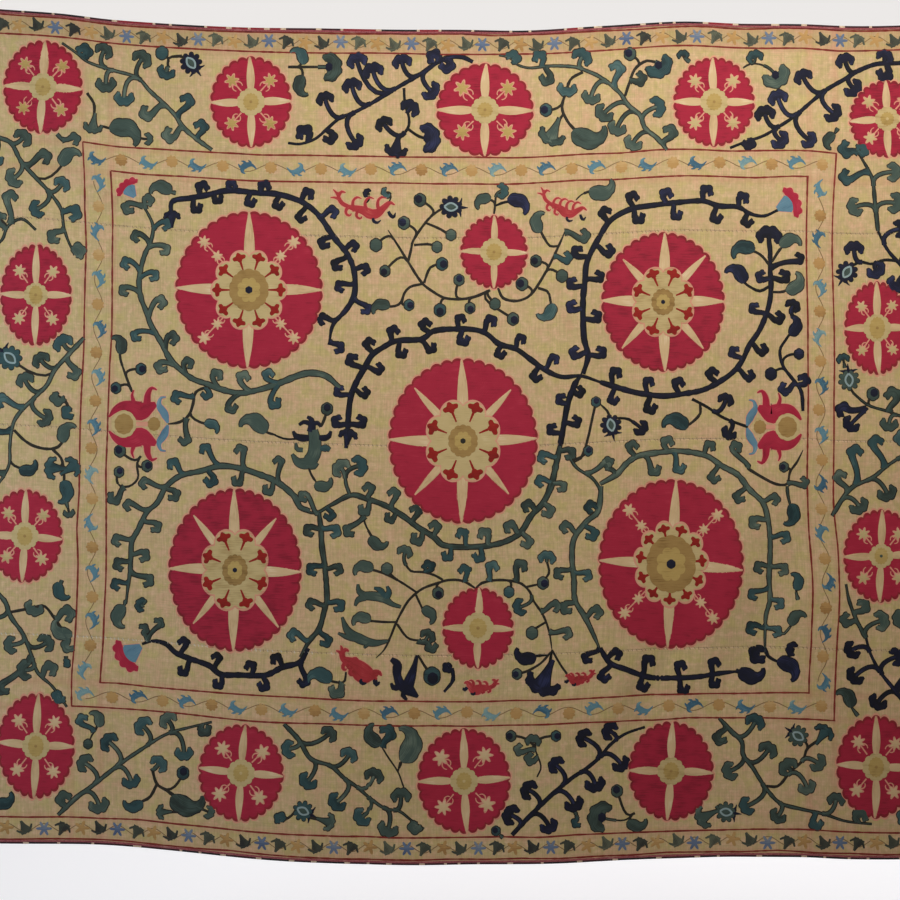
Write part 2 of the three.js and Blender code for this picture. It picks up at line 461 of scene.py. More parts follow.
TAPE_THREADS = [
    tape_weave("tape_maroon", dye(74, 22, 34), dye(30, 16, 24), dye(120, 70, 70)),
    tape_weave("tape_black", dye(40, 22, 30), dye(18, 14, 20), dye(90, 60, 60)),
    tape_weave("tape_ivory", dye(226, 205, 178), dye(190, 150, 128), dye(236, 220, 200)),
    tape_weave("tape_mauve", dye(170, 92, 96), dye(128, 56, 66), dye(196, 140, 132)),
    tape_weave("tape_red", dye(158, 34, 48), dye(110, 22, 36), dye(196, 120, 112)),
]
MAROON, BLACK, IVORY, MAUVE, RED = range(5)


def block_run(count):
    """The thread of the fold at each step along it: long dark blocks with short ivory gaps."""
    run = []
    while len(run) < count:
        dark = drawn.choice([MAROON, BLACK, MAROON, RED], p=[0.4, 0.35, 0.1, 0.15])
        run += [dark] * max(1, round(drawn.uniform(*BLOCK_LONG) / TAPE_STEP))
        run += [IVORY] * max(1, round(drawn.uniform(*BLOCK_GAP) / TAPE_STEP))
    return run[:count]


def edging(side, run_from, run_to, place):
    """One length of the folded band. `place` turns inwards and along into the flat cloth."""
    steps = round((run_to - run_from) / TAPE_STEP)
    along = np.linspace(run_from, run_to, steps + 1)
    inwards, lift, band = np.array(TAPE_SECTION).T
    sides = len(inwards)
    x, down = place(np.tile(inwards, steps + 1), np.repeat(along, sides))
    points = hung(x, down, np.tile(lift, steps + 1))
    number = np.arange((steps + 1) * sides).reshape(steps + 1, sides)
    onward = np.roll(number, -1, axis=1)
    quads = np.stack([number[:-1], onward[:-1], onward[1:], number[1:]], axis=-1).reshape(-1, 4)
    caps = [number[0][::-1].tolist(), number[-1].tolist()]
    mesh = bpy.data.meshes.new(f"woven_edging_{side}")
    mesh.from_pydata(points.tolist(), [], quads.tolist() + caps)
    blocks = np.repeat(block_run(steps), sides)
    bands = np.tile(band, steps)
    inner = np.where(bands == STRIPE, MAUVE, MAROON)
    threads = np.where(bands == FOLD, blocks, inner).tolist()
    mesh.polygons.foreach_set("material_index", [int(t) for t in threads] + [MAROON, MAROON])
    inward_steps, lift_steps = np.diff(inwards, append=inwards[0]), np.diff(lift, append=lift[0])
    round_section = np.cumsum(np.hypot(inward_steps, lift_steps))
    give(mesh, "thread", np.column_stack(
        [np.repeat(along, sides), np.tile(round_section, steps + 1), np.zeros(len(points))]
    ))
    u = np.linspace(0, 1, steps + 1)
    v = np.linspace(0, TAPE_SHARE, sides + 1)
    grid = np.stack(np.meshgrid(u, v, indexing="ij"), axis=-1)
    corners = [grid[:-1, :-1], grid[:-1, 1:], grid[1:, 1:], grid[1:, :-1]]
    flat = np.stack(corners, axis=2).reshape(-1, 2)
    turn = np.linspace(0, 2 * math.pi, sides, endpoint=False)
    disc = np.column_stack([np.cos(turn), np.sin(turn)]) * END_SIZE
    unwrap(mesh, np.concatenate([flat, disc + FIRST_END, disc + LAST_END]))
    for material in TAPE_THREADS:
        mesh.materials.append(material)
    shaped = bmesh.new()
    shaped.from_mesh(mesh)
    bmesh.ops.recalc_face_normals(shaped, faces=shaped.faces)
    shaped.to_mesh(mesh)
    shaped.free()
    piece = show(mesh.name, mesh)
    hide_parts(f"edging_{side}")
    return piece


HALF = LENGTH / 2
SIDE_END = 0.0093
SIDE_RUN = (SIDE_END, DROP - SIDE_END)
edgings = {
    "top": edging("top", -HALF, HALF, lambda inwards, along: (along, inwards)),
    "hem": edging("hem", -HALF, HALF, lambda inwards, along: (along, DROP - inwards)),
    "left": edging("left", *SIDE_RUN, lambda inwards, along: (inwards - HALF, along)),
    "right": edging("right", *SIDE_RUN, lambda inwards, along: (HALF - inwards, along)),
}


# The ruled lines. Single rows of dark red silk in chain stitch that part the bands of the pattern:
# two along the rim, and two round the field. All embroidery is drawn on a grid whose step is one
# pixel of the picture, either as the cloth hangs or, for ruled work, as it lies flat.
STEP = 0.0022
MIDDLE, RIM = 455, 27.7
EYE = np.array([-0.011, -2.764, -0.929])
PICTURE_CENTRE = 450
FOCUS = 2.75
REVERSE_GAP = 0.00015
# How wide and how high a band is where its thread passes through to the wrong side.
THROUGH_WIDTH, THROUGH_RISE = 0.9, 0.3
SETTLING_ROUNDS = 5
MILLIMETRE = 0.001
# Where a band's points lie across it, from edge to edge: in a plain ridge, or with a rounded back.
RIDGE = (-1, 0, 1)
ROUNDED = (-1, -0.7, 0, 0.7, 1)


def on_cloth(spots):
    """Where points of the picture lie on the flat cloth: along from its middle, and down."""
    x = (spots[:, 0] - MIDDLE) * STEP
    down = (spots[:, 1] - RIM) * STEP
    for _ in range(SETTLING_ROUNDS):
        reach = -EYE[1] - stand_off(x, down) - CLOTH_FRONT
        goal_x = EYE[0] + (spots[:, 0] - PICTURE_CENTRE) * STEP * reach / FOCUS
        goal_z = EYE[2] - (spots[:, 1] - PICTURE_CENTRE) * STEP * reach / FOCUS
        right, lower = shift(x, down)
        x, down = goal_x - right, -goal_z - lower
    return x, down


def silk(name, dark, middle, light):
    """Laid silk, held down by small slanting stitches and a little worn."""
    material, tree, shader, start = finish(name, 0.62, 0.1)
    along, across, tone = start.attribute("thread").parts()
    strands = start.noise(start.vector(along * 26, across * 520), 1.0, 2.0)
    patches = start.noise(start.vector(along * 30, across * 42), 1.0, 2.0)
    value = strands * 0.75 + patches * 0.75 + tone - 0.25
    colour = start.blend(value.step(0.50, 0.18), middle, dark)
    colour = start.blend(value.step(0.55, 0.95), colour, light)
    ridges = (across * 5600).wave()
    ties = (along * 1250 + across * 900).wave().step(0.72, 0.95)
    dress(tree, shader, start, colour, ridges * 0.35 + strands * 0.9 - ties * 0.7, 0.55, 0.0004)
    return material


def silks(shades):
    """A silk of each name, from its dark, its middle and its light shade."""
    return {name: silk(name, *[dye(*shade) for shade in row]) for name, row in shades.items()}


SILKS = silks({
    "line_red": [(88, 22, 18), (130, 40, 32), (160, 72, 56)],
})


class Stitching:
    """Shapes of silk, sewn on the cloth as one piece. `behind` takes their wrong side.

    Lifts and rises are in millimetres. A flat shape lies on the grid of the flat cloth, and a
    hidden one doesn't pass through to the wrong side.
    """

    def __init__(self, name, behind=None):
        self.name = name
        self.behind = behind
        self.count = 0
        self.spots, self.laid_flat, self.lifts, self.runs, self.layers = [], [], [], [], []
        self.faces, self.silks = [], []

    def add(self, spots, lifts, runs, faces, silk_name, layer, flat):
        self.spots.append(spots)
        self.laid_flat.append(np.full(len(spots), flat))
        self.lifts.append(lifts)
        self.runs.append(runs)
        self.layers.append(np.full(len(spots), layer))
        for rows in faces:
            self.faces += (rows + self.count).tolist()
        self.silks.append((silk_name, sum(len(rows) for rows in faces)))
        self.count += len(spots)

    def strip(self, spine, left, right, silk_name, lift=0.10, rise=0.35, layer=0, tone=0.0,
              flat=False, across=ROUNDED, hidden=False):
        """A band of thread along a line of points, as wide as `left` and `right` say."""
        spine = np.asarray(spine, float)
        left = np.broadcast_to(left, len(spine))
        right = np.broadcast_to(right, len(spine))
        heading = np.gradient(spine, axis=0)
        heading /= np.maximum(np.hypot(*heading.T), 1e-9)[:, None]
        normal = np.column_stack([-heading[:, 1], heading[:, 0]])
        share = np.array(across)
        width = np.where(share[None, :] < 0, left[:, None], right[:, None]) * share[None, :]
        spots = (spine[:, None, :] + width[..., None] * normal[:, None, :]).reshape(-1, 2)
        crown = np.where(np.abs(share) > 0.9, 0, np.where(np.abs(share) > 0.3, 0.8, 1))
        lifts = np.tile((lift + rise * crown) * MILLIMETRE, len(spine))
        along = np.cumsum(np.r_[0, np.hypot(*np.diff(spine, axis=0).T)]) * STEP
        tones = np.full(width.size, tone)
        runs = np.column_stack([np.repeat(along, len(share)), width.ravel() * STEP, tones])
        number = np.arange(width.size).reshape(width.shape)
        a, b, c, e = number[:-1, :-1], number[1:, :-1], number[1:, 1:], number[:-1, 1:]
        quads = np.stack([a, b, c, e], axis=-1).reshape(-1, 4)
        self.add(spots, lifts, runs, [quads], silk_name, layer, flat)
        if self.behind and not hidden:
            self.behind.strip(spine, left * THROUGH_WIDTH, right * THROUGH_WIDTH, silk_name,
                              lift * THROUGH_RISE, rise * THROUGH_RISE, layer, tone, flat, RIDGE)

    def blob(self, centre, rim, silk_name, lift=0.10, rise=0.35, layer=0, tone=0.0, flat=False,
             hidden=False, lean=0.0):
        """A filled round shape. `rim` holds its edge as offsets from the centre."""
        reach = np.hypot(*rim.T).mean()
        count = max(1, math.ceil(reach / 5.0))
        inner = np.linspace(max(1 - 2.4 / reach, 0.5), 0, count + 1)
        shares = [1.0, max(1 - 1.0 / reach, 0.7), *inner[:-1]]
        rings, spots, lifts = [], [], []
        index, kept = 0, np.arange(len(rim))
        for order, share in enumerate(shares):
            wide = 2 * math.pi * reach * share / len(kept)
            if order > 1 and wide < 2.2 and len(kept) % 2 == 0 and len(kept) > 12:
                kept = kept[::2]
            rings.append(index + np.arange(len(kept)))
            index += len(kept)
            spots.append(rim[kept] * share)
            lifts.append(np.full(len(kept), lift + rise * (0, 0.8, 1)[min(order, 2)]))
        spots = np.concatenate([*spots, [[0, 0]]])
        lifts = np.append(np.concatenate(lifts), lift + rise) * MILLIMETRE
        tones = np.full(len(spots), tone)
        faces = []
        for outer, within in zip(rings, rings[1:]):
            on = np.roll(within, -1)
            if len(outer) == len(within):
                faces.append(np.column_stack([outer, np.roll(outer, -1), on, within]))
            else:
                first, second, third = outer[::2], outer[1::2], np.roll(outer[::2], -1)
                faces.append(np.column_stack([first, second, within]))
                faces.append(np.column_stack([second, on, within]))
                faces.append(np.column_stack([second, third, on]))
        last = rings[-1]
        faces.append(np.column_stack([last, np.roll(last, -1), np.full(len(last), index)]))
        cosine, sine = math.cos(lean), math.sin(lean)
        along = (spots[:, 0] * cosine + spots[:, 1] * sine) * STEP
        across = (spots[:, 1] * cosine - spots[:, 0] * sine) * STEP
        self.add(np.asarray(centre) + spots, lifts, np.column_stack([along, across, tones]), faces,
                 silk_name, layer, flat)
        if self.behind and not hidden:
            self.behind.blob(centre, rim[::2] * 0.98, silk_name, lift * THROUGH_RISE,
                             rise * THROUGH_RISE, layer, tone, flat, lean=lean)

    def sew(self, reverse=False):
        """Makes the piece: every shape goes from the grid to the hung cloth."""
        spots, flat = np.concatenate(self.spots), np.concatenate(self.laid_flat)
        x, down = (spots[:, 0] - MIDDLE) * STEP, (spots[:, 1] - RIM) * STEP
        hanging = ~flat
        if hanging.any():
            x[hanging], down[hanging] = on_cloth(spots[hanging])
        lifts = np.concatenate(self.lifts)
        heights = CLOTH_BACK - REVERSE_GAP - lifts if reverse else CLOTH_FRONT + lifts
        points = hung(x, down, heights)
        corners = np.array([face[k] for face in self.faces for k in (0, 1, 2)]).reshape(-1, 3)
        one, two, three = (spots[corners[:, k]] for k in range(3))
        turn = (two - one)[:, 0] * (three - one)[:, 1] - (two - one)[:, 1] * (three - one)[:, 0]
        faces = [f[::-1] if (t > 0) != reverse else f for f, t in zip(self.faces, turn)]
        mesh = bpy.data.meshes.new(self.name)
        mesh.from_pydata(points.tolist(), [], faces)
        names = list(dict.fromkeys(name for name, _ in self.silks))
        for name in names:
            mesh.materials.append(SILKS[name])
        indices = [names.index(name) for name, amount in self.silks for _ in range(amount)]
        mesh.polygons.foreach_set("material_index", indices)
        give(mesh, "thread", np.concatenate(self.runs))
        layers = np.concatenate(self.layers)
        tiles = math.ceil(math.sqrt(layers.max() + 1))
        low, high = spots.min(axis=0), spots.max(axis=0)
        share = (spots - low) / (high - low) * 0.98 + 0.01
        share[:, 1] = 1 - share[:, 1]
        tile = np.column_stack([layers % tiles, layers // tiles])
        laid = (share + tile) / tiles
        unwrap(mesh, laid[[corner for face in faces for corner in face]])
        show(self.name, mesh)


# The seams: the panels are whipped together edge to edge with small slanting stitches of brown
# cotton thread. A pale thread mends the left half of the lowest seam.
SILKS |= silks({
    "seam_brown": [(134, 104, 74), (164, 132, 96), (186, 156, 118)],
    "seam_pale": [(190, 176, 156), (216, 206, 190), (232, 226, 214)],
})
PANEL_STEP = PANEL_DROP / STEP
SEAM_REACH = 500
SEAM_PITCH = 4.4
SEAM_THREAD = 0.34
MENDED_TO = 340
MENDED_SHARE = 0.8


def seam(number):
    """The stitches of one seam, all along it."""
    stitches = Stitching(f"seam_stitches_{number}")
    down = RIM + number * PANEL_STEP
    for x in np.arange(MIDDLE - SEAM_REACH, MIDDLE + SEAM_REACH, SEAM_PITCH):
        mended = number == PANEL_COUNT - 1 and x < MENDED_TO and drawn.random() < MENDED_SHARE
        thread = "seam_pale" if mended else "seam_brown"
        reach = drawn.uniform(0.9, 1.5)
        start = np.array([x + drawn.uniform(-0.8, 0.8), down - reach])
        slant = np.array([drawn.uniform(0.6, 1.8), 2 * reach])
        line = start + np.linspace(0, 1, 3)[:, None] * slant
        stitches.strip(line, SEAM_THREAD, SEAM_THREAD, thread, 0.02, 0.28, across=RIDGE,
                       flat=True)
    stitches.sew()


for number in range(1, PANEL_COUNT):
    seam(number)

reverse_rosettes = Stitching("reverse_of_rosettes")
reverse_vines = Stitching("reverse_of_vines")
reverse_bands = Stitching("reverse_of_bands")

# Each ruled frame: its left, top, right and bottom side on the flat cloth, and half its width.
FRAMES = [
    (-46, 32.5, 956.5, 860.5, 0.8),
    (-26, 52, 937, 838.5, 0.85),
    (80, 156, 835, 727, 0.85),
    (107, 182.5, 808.5, 702, 0.85),
]
LINE_WOBBLE = 0.5


def ruled_frame(sewing, left, top, right, bottom, half):
    """One frame of stitched line, not quite straight."""
    corners = [(left, top), (right, top), (right, bottom), (left, bottom), (left, top)]
    for (x0, y0), (x1, y1) in zip(corners, corners[1:]):
        steps = round(math.hypot(x1 - x0, y1 - y0) / 4)
        t = np.linspace(0, 1, steps + 1)[:, None]
        spine = np.array([x0, y0]) + t * np.array([x1 - x0, y1 - y0])
        knots = np.arange(0, steps + 10, 9)
        waver = np.interp(t[:, 0] * steps, knots, drawn.normal(0, LINE_WOBBLE, len(knots)))
        upright = abs(x1 - x0) < abs(y1 - y0)
        spine[:, 0 if upright else 1] += waver
        width = half * (1 + 0.18 * uneven(steps + 1))
        sewing.strip(spine, width, width, "line_red", 0.04, 0.28, flat=True, across=RIDGE,
                     tone=drawn.uniform(-0.08, 0.08))


ruling = Stitching("ruled_lines", reverse_bands)
for row in FRAMES:
    ruled_frame(ruling, *row)
ruling.sew()


# The rosettes. Each is a disc of crimson silk laid in long threads and held down by small slanting
# stitches, with a scalloped rim, ivory rays and a ring of small loops round an ochre heart. They
# were worked by several hands, so no two are alike.
SILKS |= silks({
    "crimson": [(136, 16, 42), (172, 28, 58), (190, 50, 74)],
    "crimson_rim": [(116, 20, 32), (144, 30, 42), (164, 48, 54)],
    "pink": [(196, 118, 98), (222, 154, 130), (234, 184, 160)],
    "ivory": [(196, 158, 116), (218, 184, 142), (234, 206, 170)],
    "cream": [(180, 150, 100), (204, 178, 128), (218, 196, 150)],
    "straw": [(158, 124, 66), (190, 158, 94), (212, 182, 120)],
    "ochre": [(130, 96, 50), (166, 130, 76), (190, 156, 98)],
    "ox_red": [(116, 12, 8), (152, 22, 14), (180, 38, 26)],
    "navy": [(6, 6, 18), (15, 16, 42), (42, 46, 84)],
    "teal": [(42, 52, 48), (66, 82, 76), (102, 114, 102)],
    "petrol": [(30, 50, 54), (50, 78, 82), (84, 110, 110)],
    "bark": [(26, 22, 18), (40, 34, 27), (62, 52, 42)],
})
QUARTER = math.pi / 2
RAY_FULLEST, RAY_BLUNT = 0.38, 0.45
RIM_THREAD = 1.6
# What lies straight on a rosette's disc: its lift and its layer.
ON_DISC, DISC_LAYER = 0.5, 3


def unit(vector):
    return vector / max(math.hypot(*vector), 1e-9)


def pointing(angle):
    return np.array([math.cos(angle), math.sin(angle)])


def crossing(direction):
    """The direction a quarter turn away from another."""
    return np.array([-direction[1], direction[0]])


def around(angle, reach):
    """The edge of a shape as offsets from its centre, `reach` away at each angle."""
    return np.column_stack([np.cos(angle) * reach, np.sin(angle) * reach])


def growing(start, heading, turns, stride):
    """A line that leaves `start` at an angle and bends by one of `turns` at each stride."""
    angles = heading + np.cumsum(turns)
    moves = np.column_stack([np.cos(angles), np.sin(angles)]) * stride
    return np.concatenate([[start], start + np.cumsum(moves, axis=0)])


def turning(count, start=0.0):
    return start + np.linspace(0, 2 * math.pi, count, endpoint=False)


def scalloped(reach_x, reach_y, lobes, depth, samples=8, spread=0.1, start=0.0):
    """The edge of a round shape with small round lobes, as offsets from its centre."""
    count = lobes * samples
    angle = turning(count, start)
    size = 1 + spread * uneven(lobes)
    lobe = np.repeat(size, samples)
    bulge = np.abs(np.sin(lobes * (angle - start) / 2)) ** 0.7
    fall = depth * lobe * (1 - bulge)
    scale = 1 - fall / (0.5 * (reach_x + reach_y))
    return np.column_stack([np.cos(angle) * reach_x * scale, np.sin(angle) * reach_y * scale])


def spindle(sewing, start, end, half):
    """An ivory ray: it widens from a blunt foot at `start` and ends in a point."""
    start, end = np.asarray(start, float), np.asarray(end, float)
    t = np.linspace(0, 1, 15)
    rising = np.sin(QUARTER * np.clip(t / RAY_FULLEST, 0, 1)) * (1 - RAY_BLUNT) + RAY_BLUNT
    falling = np.cos(QUARTER * np.clip((t - RAY_FULLEST) / (1 - RAY_FULLEST), 0, 1)) ** 0.9
    width = np.maximum(half * rising * falling, 0.12)
    side = crossing(end - start) / np.hypot(*(end - start))
    bow = drawn.uniform(-1, 1) * np.sin(math.pi * t) * 0.8
    spine = start + t[:, None] * (end - start) + bow[:, None] * side
    tone = drawn.uniform(-0.1, 0.1)
    sewing.strip(spine, width + 0.75, width + 0.75, "pink", ON_DISC, 0.15, DISC_LAYER, tone,
                 across=RIDGE, hidden=True)
    sewing.strip(spine, width, width, "ivory", ON_DISC + 0.15, 0.28, DISC_LAYER + 1, tone)


def bud(sewing, centre, outward, size):
    """A dark red bud: a head of three round lobes on a short stalk that points at the heart."""
    facing = pointing(outward)
    off = np.linspace(-math.pi, math.pi, 40, endpoint=False)
    between_lobes = 1.15
    lobed = 0.86 + 0.14 * np.cos(2 * math.pi * off / between_lobes)
    reach = size * 0.56 * np.where(np.abs(off) < 1.5 * between_lobes, lobed, 0.34)
    rim = around(off + outward, reach)
    tone = drawn.uniform(-0.1, 0.1)
    sewing.blob(centre, rim, "ox_red", 1.34, 0.2, 4, tone, hidden=True)
    stalk = centre + np.linspace(0.1, -0.8, 5)[:, None] * facing * size
    width = np.linspace(1.6, 0.7, 5)
    sewing.strip(stalk, width, width, "ox_red", 1.32, 0.2, 3, across=RIDGE, hidden=True)


def small_flower(sewing, root, head, size, fill):
    """A star of six short lobes with pink tips, on a thin stalk between two curling tendrils."""
    root, head = np.asarray(root, float), np.asarray(head, float)
    run = head - root
    outward = math.atan2(run[1], run[0])
    spine = root + np.linspace(0, 0.85, 6)[:, None] * run
    sewing.strip(spine, 0.8, 0.8, "pink", ON_DISC, 0.2, DISC_LAYER, across=RIDGE, hidden=True)
    angle = turning(48, outward)
    lobes = 6 + (drawn.random() > 0.6)
    bloom = size * (0.76 + 0.24 * np.cos(lobes * (angle - outward)))
    rim = around(angle, bloom)
    tone = drawn.uniform(-0.1, 0.1)
    sewing.blob(head, rim, "pink", ON_DISC + 0.02, 0.24, DISC_LAYER, tone, hidden=True)
    sewing.blob(head, rim * 0.78, fill, ON_DISC + 0.24, 0.2, DISC_LAYER + 1, tone, hidden=True)
    for side in (-1, 1):
        turns = np.full(8, side * drawn.uniform(0.28, 0.42))
        foot = head - unit(run) * size * 0.5
        horn = growing(foot, outward + math.pi - side * 1.9, turns, size * 0.17)
        width = np.linspace(1.0, 0.5, 9)
        sewing.strip(horn, width, width, "pink", ON_DISC, 0.2, DISC_LAYER, across=RIDGE,
                     hidden=True)


def double_flower(sewing, centre, angle, scale):
    """A thin stem with two lily-like flowers, one above the other, across a large disc."""
    direction = pointing(angle)
    root = centre + direction * scale * 0.44
    middle = centre + direction * scale * 0.61
    tip = centre + direction * scale * 0.86
    small_flower(sewing, root, middle, 6.0, "ivory")
    small_flower(sewing, middle, tip, 6.8, "ivory")


def rosette(name, x, y, reach, tall, rays, lobes, heart, loops, lean, wide, dot, blooms=None):
    """One rosette. `rays` is 8 or 4, `heart` is the reach of its ochre centre."""
    sewing = Stitching(name, reverse_rosettes)
    centre = np.array([x, y], float)
    scale = np.array([reach, tall])
    rim = scalloped(reach, tall, lobes, 2.7)
    tone = drawn.uniform(-0.1, 0.1)
    sewing.blob(centre, rim * (1 + RIM_THREAD / reach), "pink", 0.02, 0.12, 0, hidden=True)
    sewing.blob(centre, rim, "crimson_rim", 0.14, 0.3, 1, tone)
    sewing.blob(centre, rim * (1 - RIM_THREAD / reach), "crimson", 0.24, 0.28, 2, tone, lean=lean,
                hidden=True)
    steps = turning(rays, -QUARTER + lean)
    for order, angle in enumerate(steps):
        straight = order % (rays // 4) == 0
        angle = angle + drawn.normal(0, 0.02)
        direction = pointing(angle) * scale
        end = 0.985 if straight else drawn.uniform(0.88, 0.97)
        half = wide * (1.0 if straight else 0.72)
        spindle(sewing, centre + direction * 0.2, centre + direction * end, half)
    ring = scale * 0.5 if loops else np.array([heart * 1.75, heart * 1.75])
    if loops:
        start = steps[0] + math.pi / loops
        lobed = scalloped(*ring, loops, ring[0] * 0.17, 12, 0.08, start + math.pi / loops)
        sewing.blob(centre, lobed * (1 + 1.7 / ring[0]), "pink", 0.96, 0.2, 5, tone, hidden=True)
        sewing.blob(centre, lobed, "cream", 1.10, 0.2, 6, tone, hidden=True)
        for angle in turning(loops, start):
            at = centre + pointing(angle) * ring * 0.80
            bud(sewing, at, angle, ring[0] * 2.6 / loops + 3.6)
    else:
        sewing.blob(centre, scalloped(*ring, 12, 1.4), "cream", 0.96, 0.24, 5, tone)
    if blooms:
        for angle in steps + QUARTER / 2:
            direction = pointing(angle) * scale
            small_flower(sewing, centre + direction * 0.33, centre + direction * 0.66,
                         min(scale) * 0.19, blooms)
    if loops and rays == 4:
        for angle in steps + QUARTER / 2:
            double_flower(sewing, centre, angle, scale)
    core = scale * heart / reach
    thread = "ochre" if loops else "straw"
    sewing.blob(centre, scalloped(*core, 14, 1.2), thread, 1.56, 0.24, 7, tone)
    if loops:
        sewing.blob(centre, scalloped(*core * 0.62, 8, heart * 0.12), "straw", 1.76, 0.12, 8)
    dot_reach = max(1.6, heart * 0.2)
    sewing.blob(centre, scalloped(dot_reach, dot_reach, 6, 0.4), dot, 1.86, 0.12, 4, hidden=True)
    sewing.sew()


# Each rosette: name, place, reach along and down, rays, scallops, heart, loops, lean, ray half
# width, the thread of its dot, and that of its small flowers where it has them.
ROSETTES = [
    ("field_rosette_upper_left", 249, 290, 74, 79, 4, 40, 20, 10, 0.0, 5.4, "navy"),
    ("field_rosette_upper_right", 663, 302, 62, 70, 8, 38, 12, 8, 0.0, 5.4, "navy"),
    ("field_rosette_centre", 463, 441, 75, 83, 8, 40, 15, 8, 0.0, 5.4, "bark"),
    ("field_rosette_lower_left", 235, 570, 67, 82, 8, 40, 13, 8, 0.0, 5.2, "navy"),
    ("field_rosette_lower_right", 671, 564, 73, 85, 4, 42, 25, 11, 0.05, 5.2, "navy"),
    ("field_rosette_small_top", 494, 252, 34, 37, 4, 26, 8, 0, 0.02, 3.2, "ochre"),
    ("field_rosette_small_bottom", 478, 628, 36, 41, 4, 26, 9, 0, 0.02, 3.6, "ochre"),
    ("border_rosette_top_1", 43, 87, 40, 47, 4, 28, 8, 0, 0.05, 4.0, "ochre", "straw"),
    ("border_rosette_top_2", 251, 102, 41, 46, 4, 26, 8, 0, 0.0, 4.0, "ochre", "straw"),
    ("border_rosette_top_3", 485, 110, 49, 47, 4, 26, 8, 0, 0.0, 4.4, "ochre", "straw"),
    ("border_rosette_top_4", 714, 102, 41, 45, 4, 30, 8, 0, 0.0, 4.0, "ochre", "cream"),
    ("border_rosette_top_5", 887, 119, 38, 39, 4, 30, 7, 0, -0.05, 3.8, "cream", "cream"),
    ("border_rosette_left_1", 36, 295, 36, 51, 4, 28, 7, 0, 0.02, 3.6, "ochre", "cream"),
    ("border_rosette_left_2", 25, 536, 38, 47, 4, 28, 8, 0, 0.05, 3.8, "ochre", "cream"),
    ("border_rosette_left_3", 36, 746, 39, 53, 4, 28, 8, 0, 0.04, 4.0, "ochre", "ivory"),
    ("border_rosette_right_1", 877, 328, 33, 47, 4, 30, 8, 0, -0.02, 3.8, "ochre", "cream"),
    ("border_rosette_right_2", 881, 556, 38, 47, 4, 30, 7, 0, 0.0, 3.8, "teal", "cream"),
    ("border_rosette_bottom_1", 241, 773, 43, 49, 4, 28, 8, 0, 0.08, 3.8, "cream", "ivory"),
    ("border_rosette_bottom_2", 464, 781, 47, 53, 4, 30, 8, 0, -0.05, 4.0, "cream", "ivory"),
    ("border_rosette_bottom_3", 671, 771, 43, 50, 4, 28, 8, 0, 0.03, 4.0, "ochre"),
    ("border_rosette_bottom_4", 876, 767, 40, 52, 4, 26, 8, 0, 0.04, 4.0, "ochre", "ivory"),
]
for row in ROSETTES:
    rosette(*row)

# The scrolls and wreaths. Vines of dark blue or blue-green silk, with bark-brown outlines to the
# green ones, run through the border and round the field's rosettes. Stems are bands of laid thread,
# and each leaf, berry and bud is sewn on its own short stalk.
def soft_line(points, step=3.6):
    """A soft line through given points."""
    points = np.array(points, float)
    run = np.r_[0, np.cumsum(np.hypot(*np.diff(points, axis=0).T))]
    rows = np.column_stack([run, points])
    at = np.linspace(0, run[-1], max(5, round(run[-1] / step)))
    return np.column_stack([through(rows, 1, at), through(rows, 2, at)])


def bent(start, leaving, arriving, end, count=7):
    """A cubic curve between two places, with its pull at each end."""
    t = np.linspace(0, 1, count)[:, None]
    near, far = start + leaving, end - arriving
    first, second = (1 - t) ** 3 * start, 3 * t * (1 - t) ** 2 * near
    return first + second + 3 * t**2 * (1 - t) * far + t**3 * end


def outlined(sewing, spine, left, right, look, lift=0.34, rise=0.4, layer=2):
    """A band of the vine's own thread on a slightly wider outline."""
    thread, outline = look
    tone = drawn.uniform(-0.22, 0.22)
    sewing.strip(spine, left + OUTLINE, right + OUTLINE, outline, lift - 0.26, 0.16, layer - 1,
                 tone, across=RIDGE, hidden=True)
    sewing.strip(spine, left, right, thread, lift, rise, layer, tone)


def leafy(sewing, spine, outer, inner, towards, look):
    """A leaf along a spine: `outer` wide on the side that `towards` points to, or else `inner`."""
    middle = len(spine) // 2
    run = spine[middle + 1] - spine[middle - 1]
    faces_right = run[0] * towards[1] - run[1] * towards[0] > 0
    left, right = (inner, outer) if faces_right else (outer, inner)
    outlined(sewing, spine, left, right, look)


def hooked_leaf(sewing, stalk, head, forward, outward, look, size):
    """A leaf with a broad stalk and a lobed crest, which curls over to a small round tip."""
    turn = np.linspace(0, 4.1, 25)
    reach = size * np.interp(turn, [0, 1.5, 4.1], [0.29, 0.28, 0.17])
    curl = head + reach[:, None] * (
        -np.cos(turn)[:, None] * forward + np.sin(turn)[:, None] * outward
    )
    spine = np.concatenate([stalk[:-1], curl])
    neck = np.interp(np.linspace(0, 1, len(stalk) - 1), [0, 0.4, 1], [0.20, 0.12, 0.15])
    crest = np.interp(turn, [0, 0.7, 1.4, 2.3, 3.1, 3.7, 4.1],
                      [0.17, 0.26, 0.28, 0.20, 0.12, 0.11, 0.05])
    lobes = drawn.uniform(0.10, 0.15) * np.abs(np.sin(2.7 * turn - 0.4)) * (turn < 3.3)
    outer = size * np.concatenate([neck, crest * 0.76 + lobes])
    inner = size * np.concatenate([neck, crest])
    inner = np.minimum(inner, np.concatenate([inner[:len(neck)], reach * 0.82]))
    leafy(sewing, spine, outer, inner, spine[len(spine) // 2] - head, look)


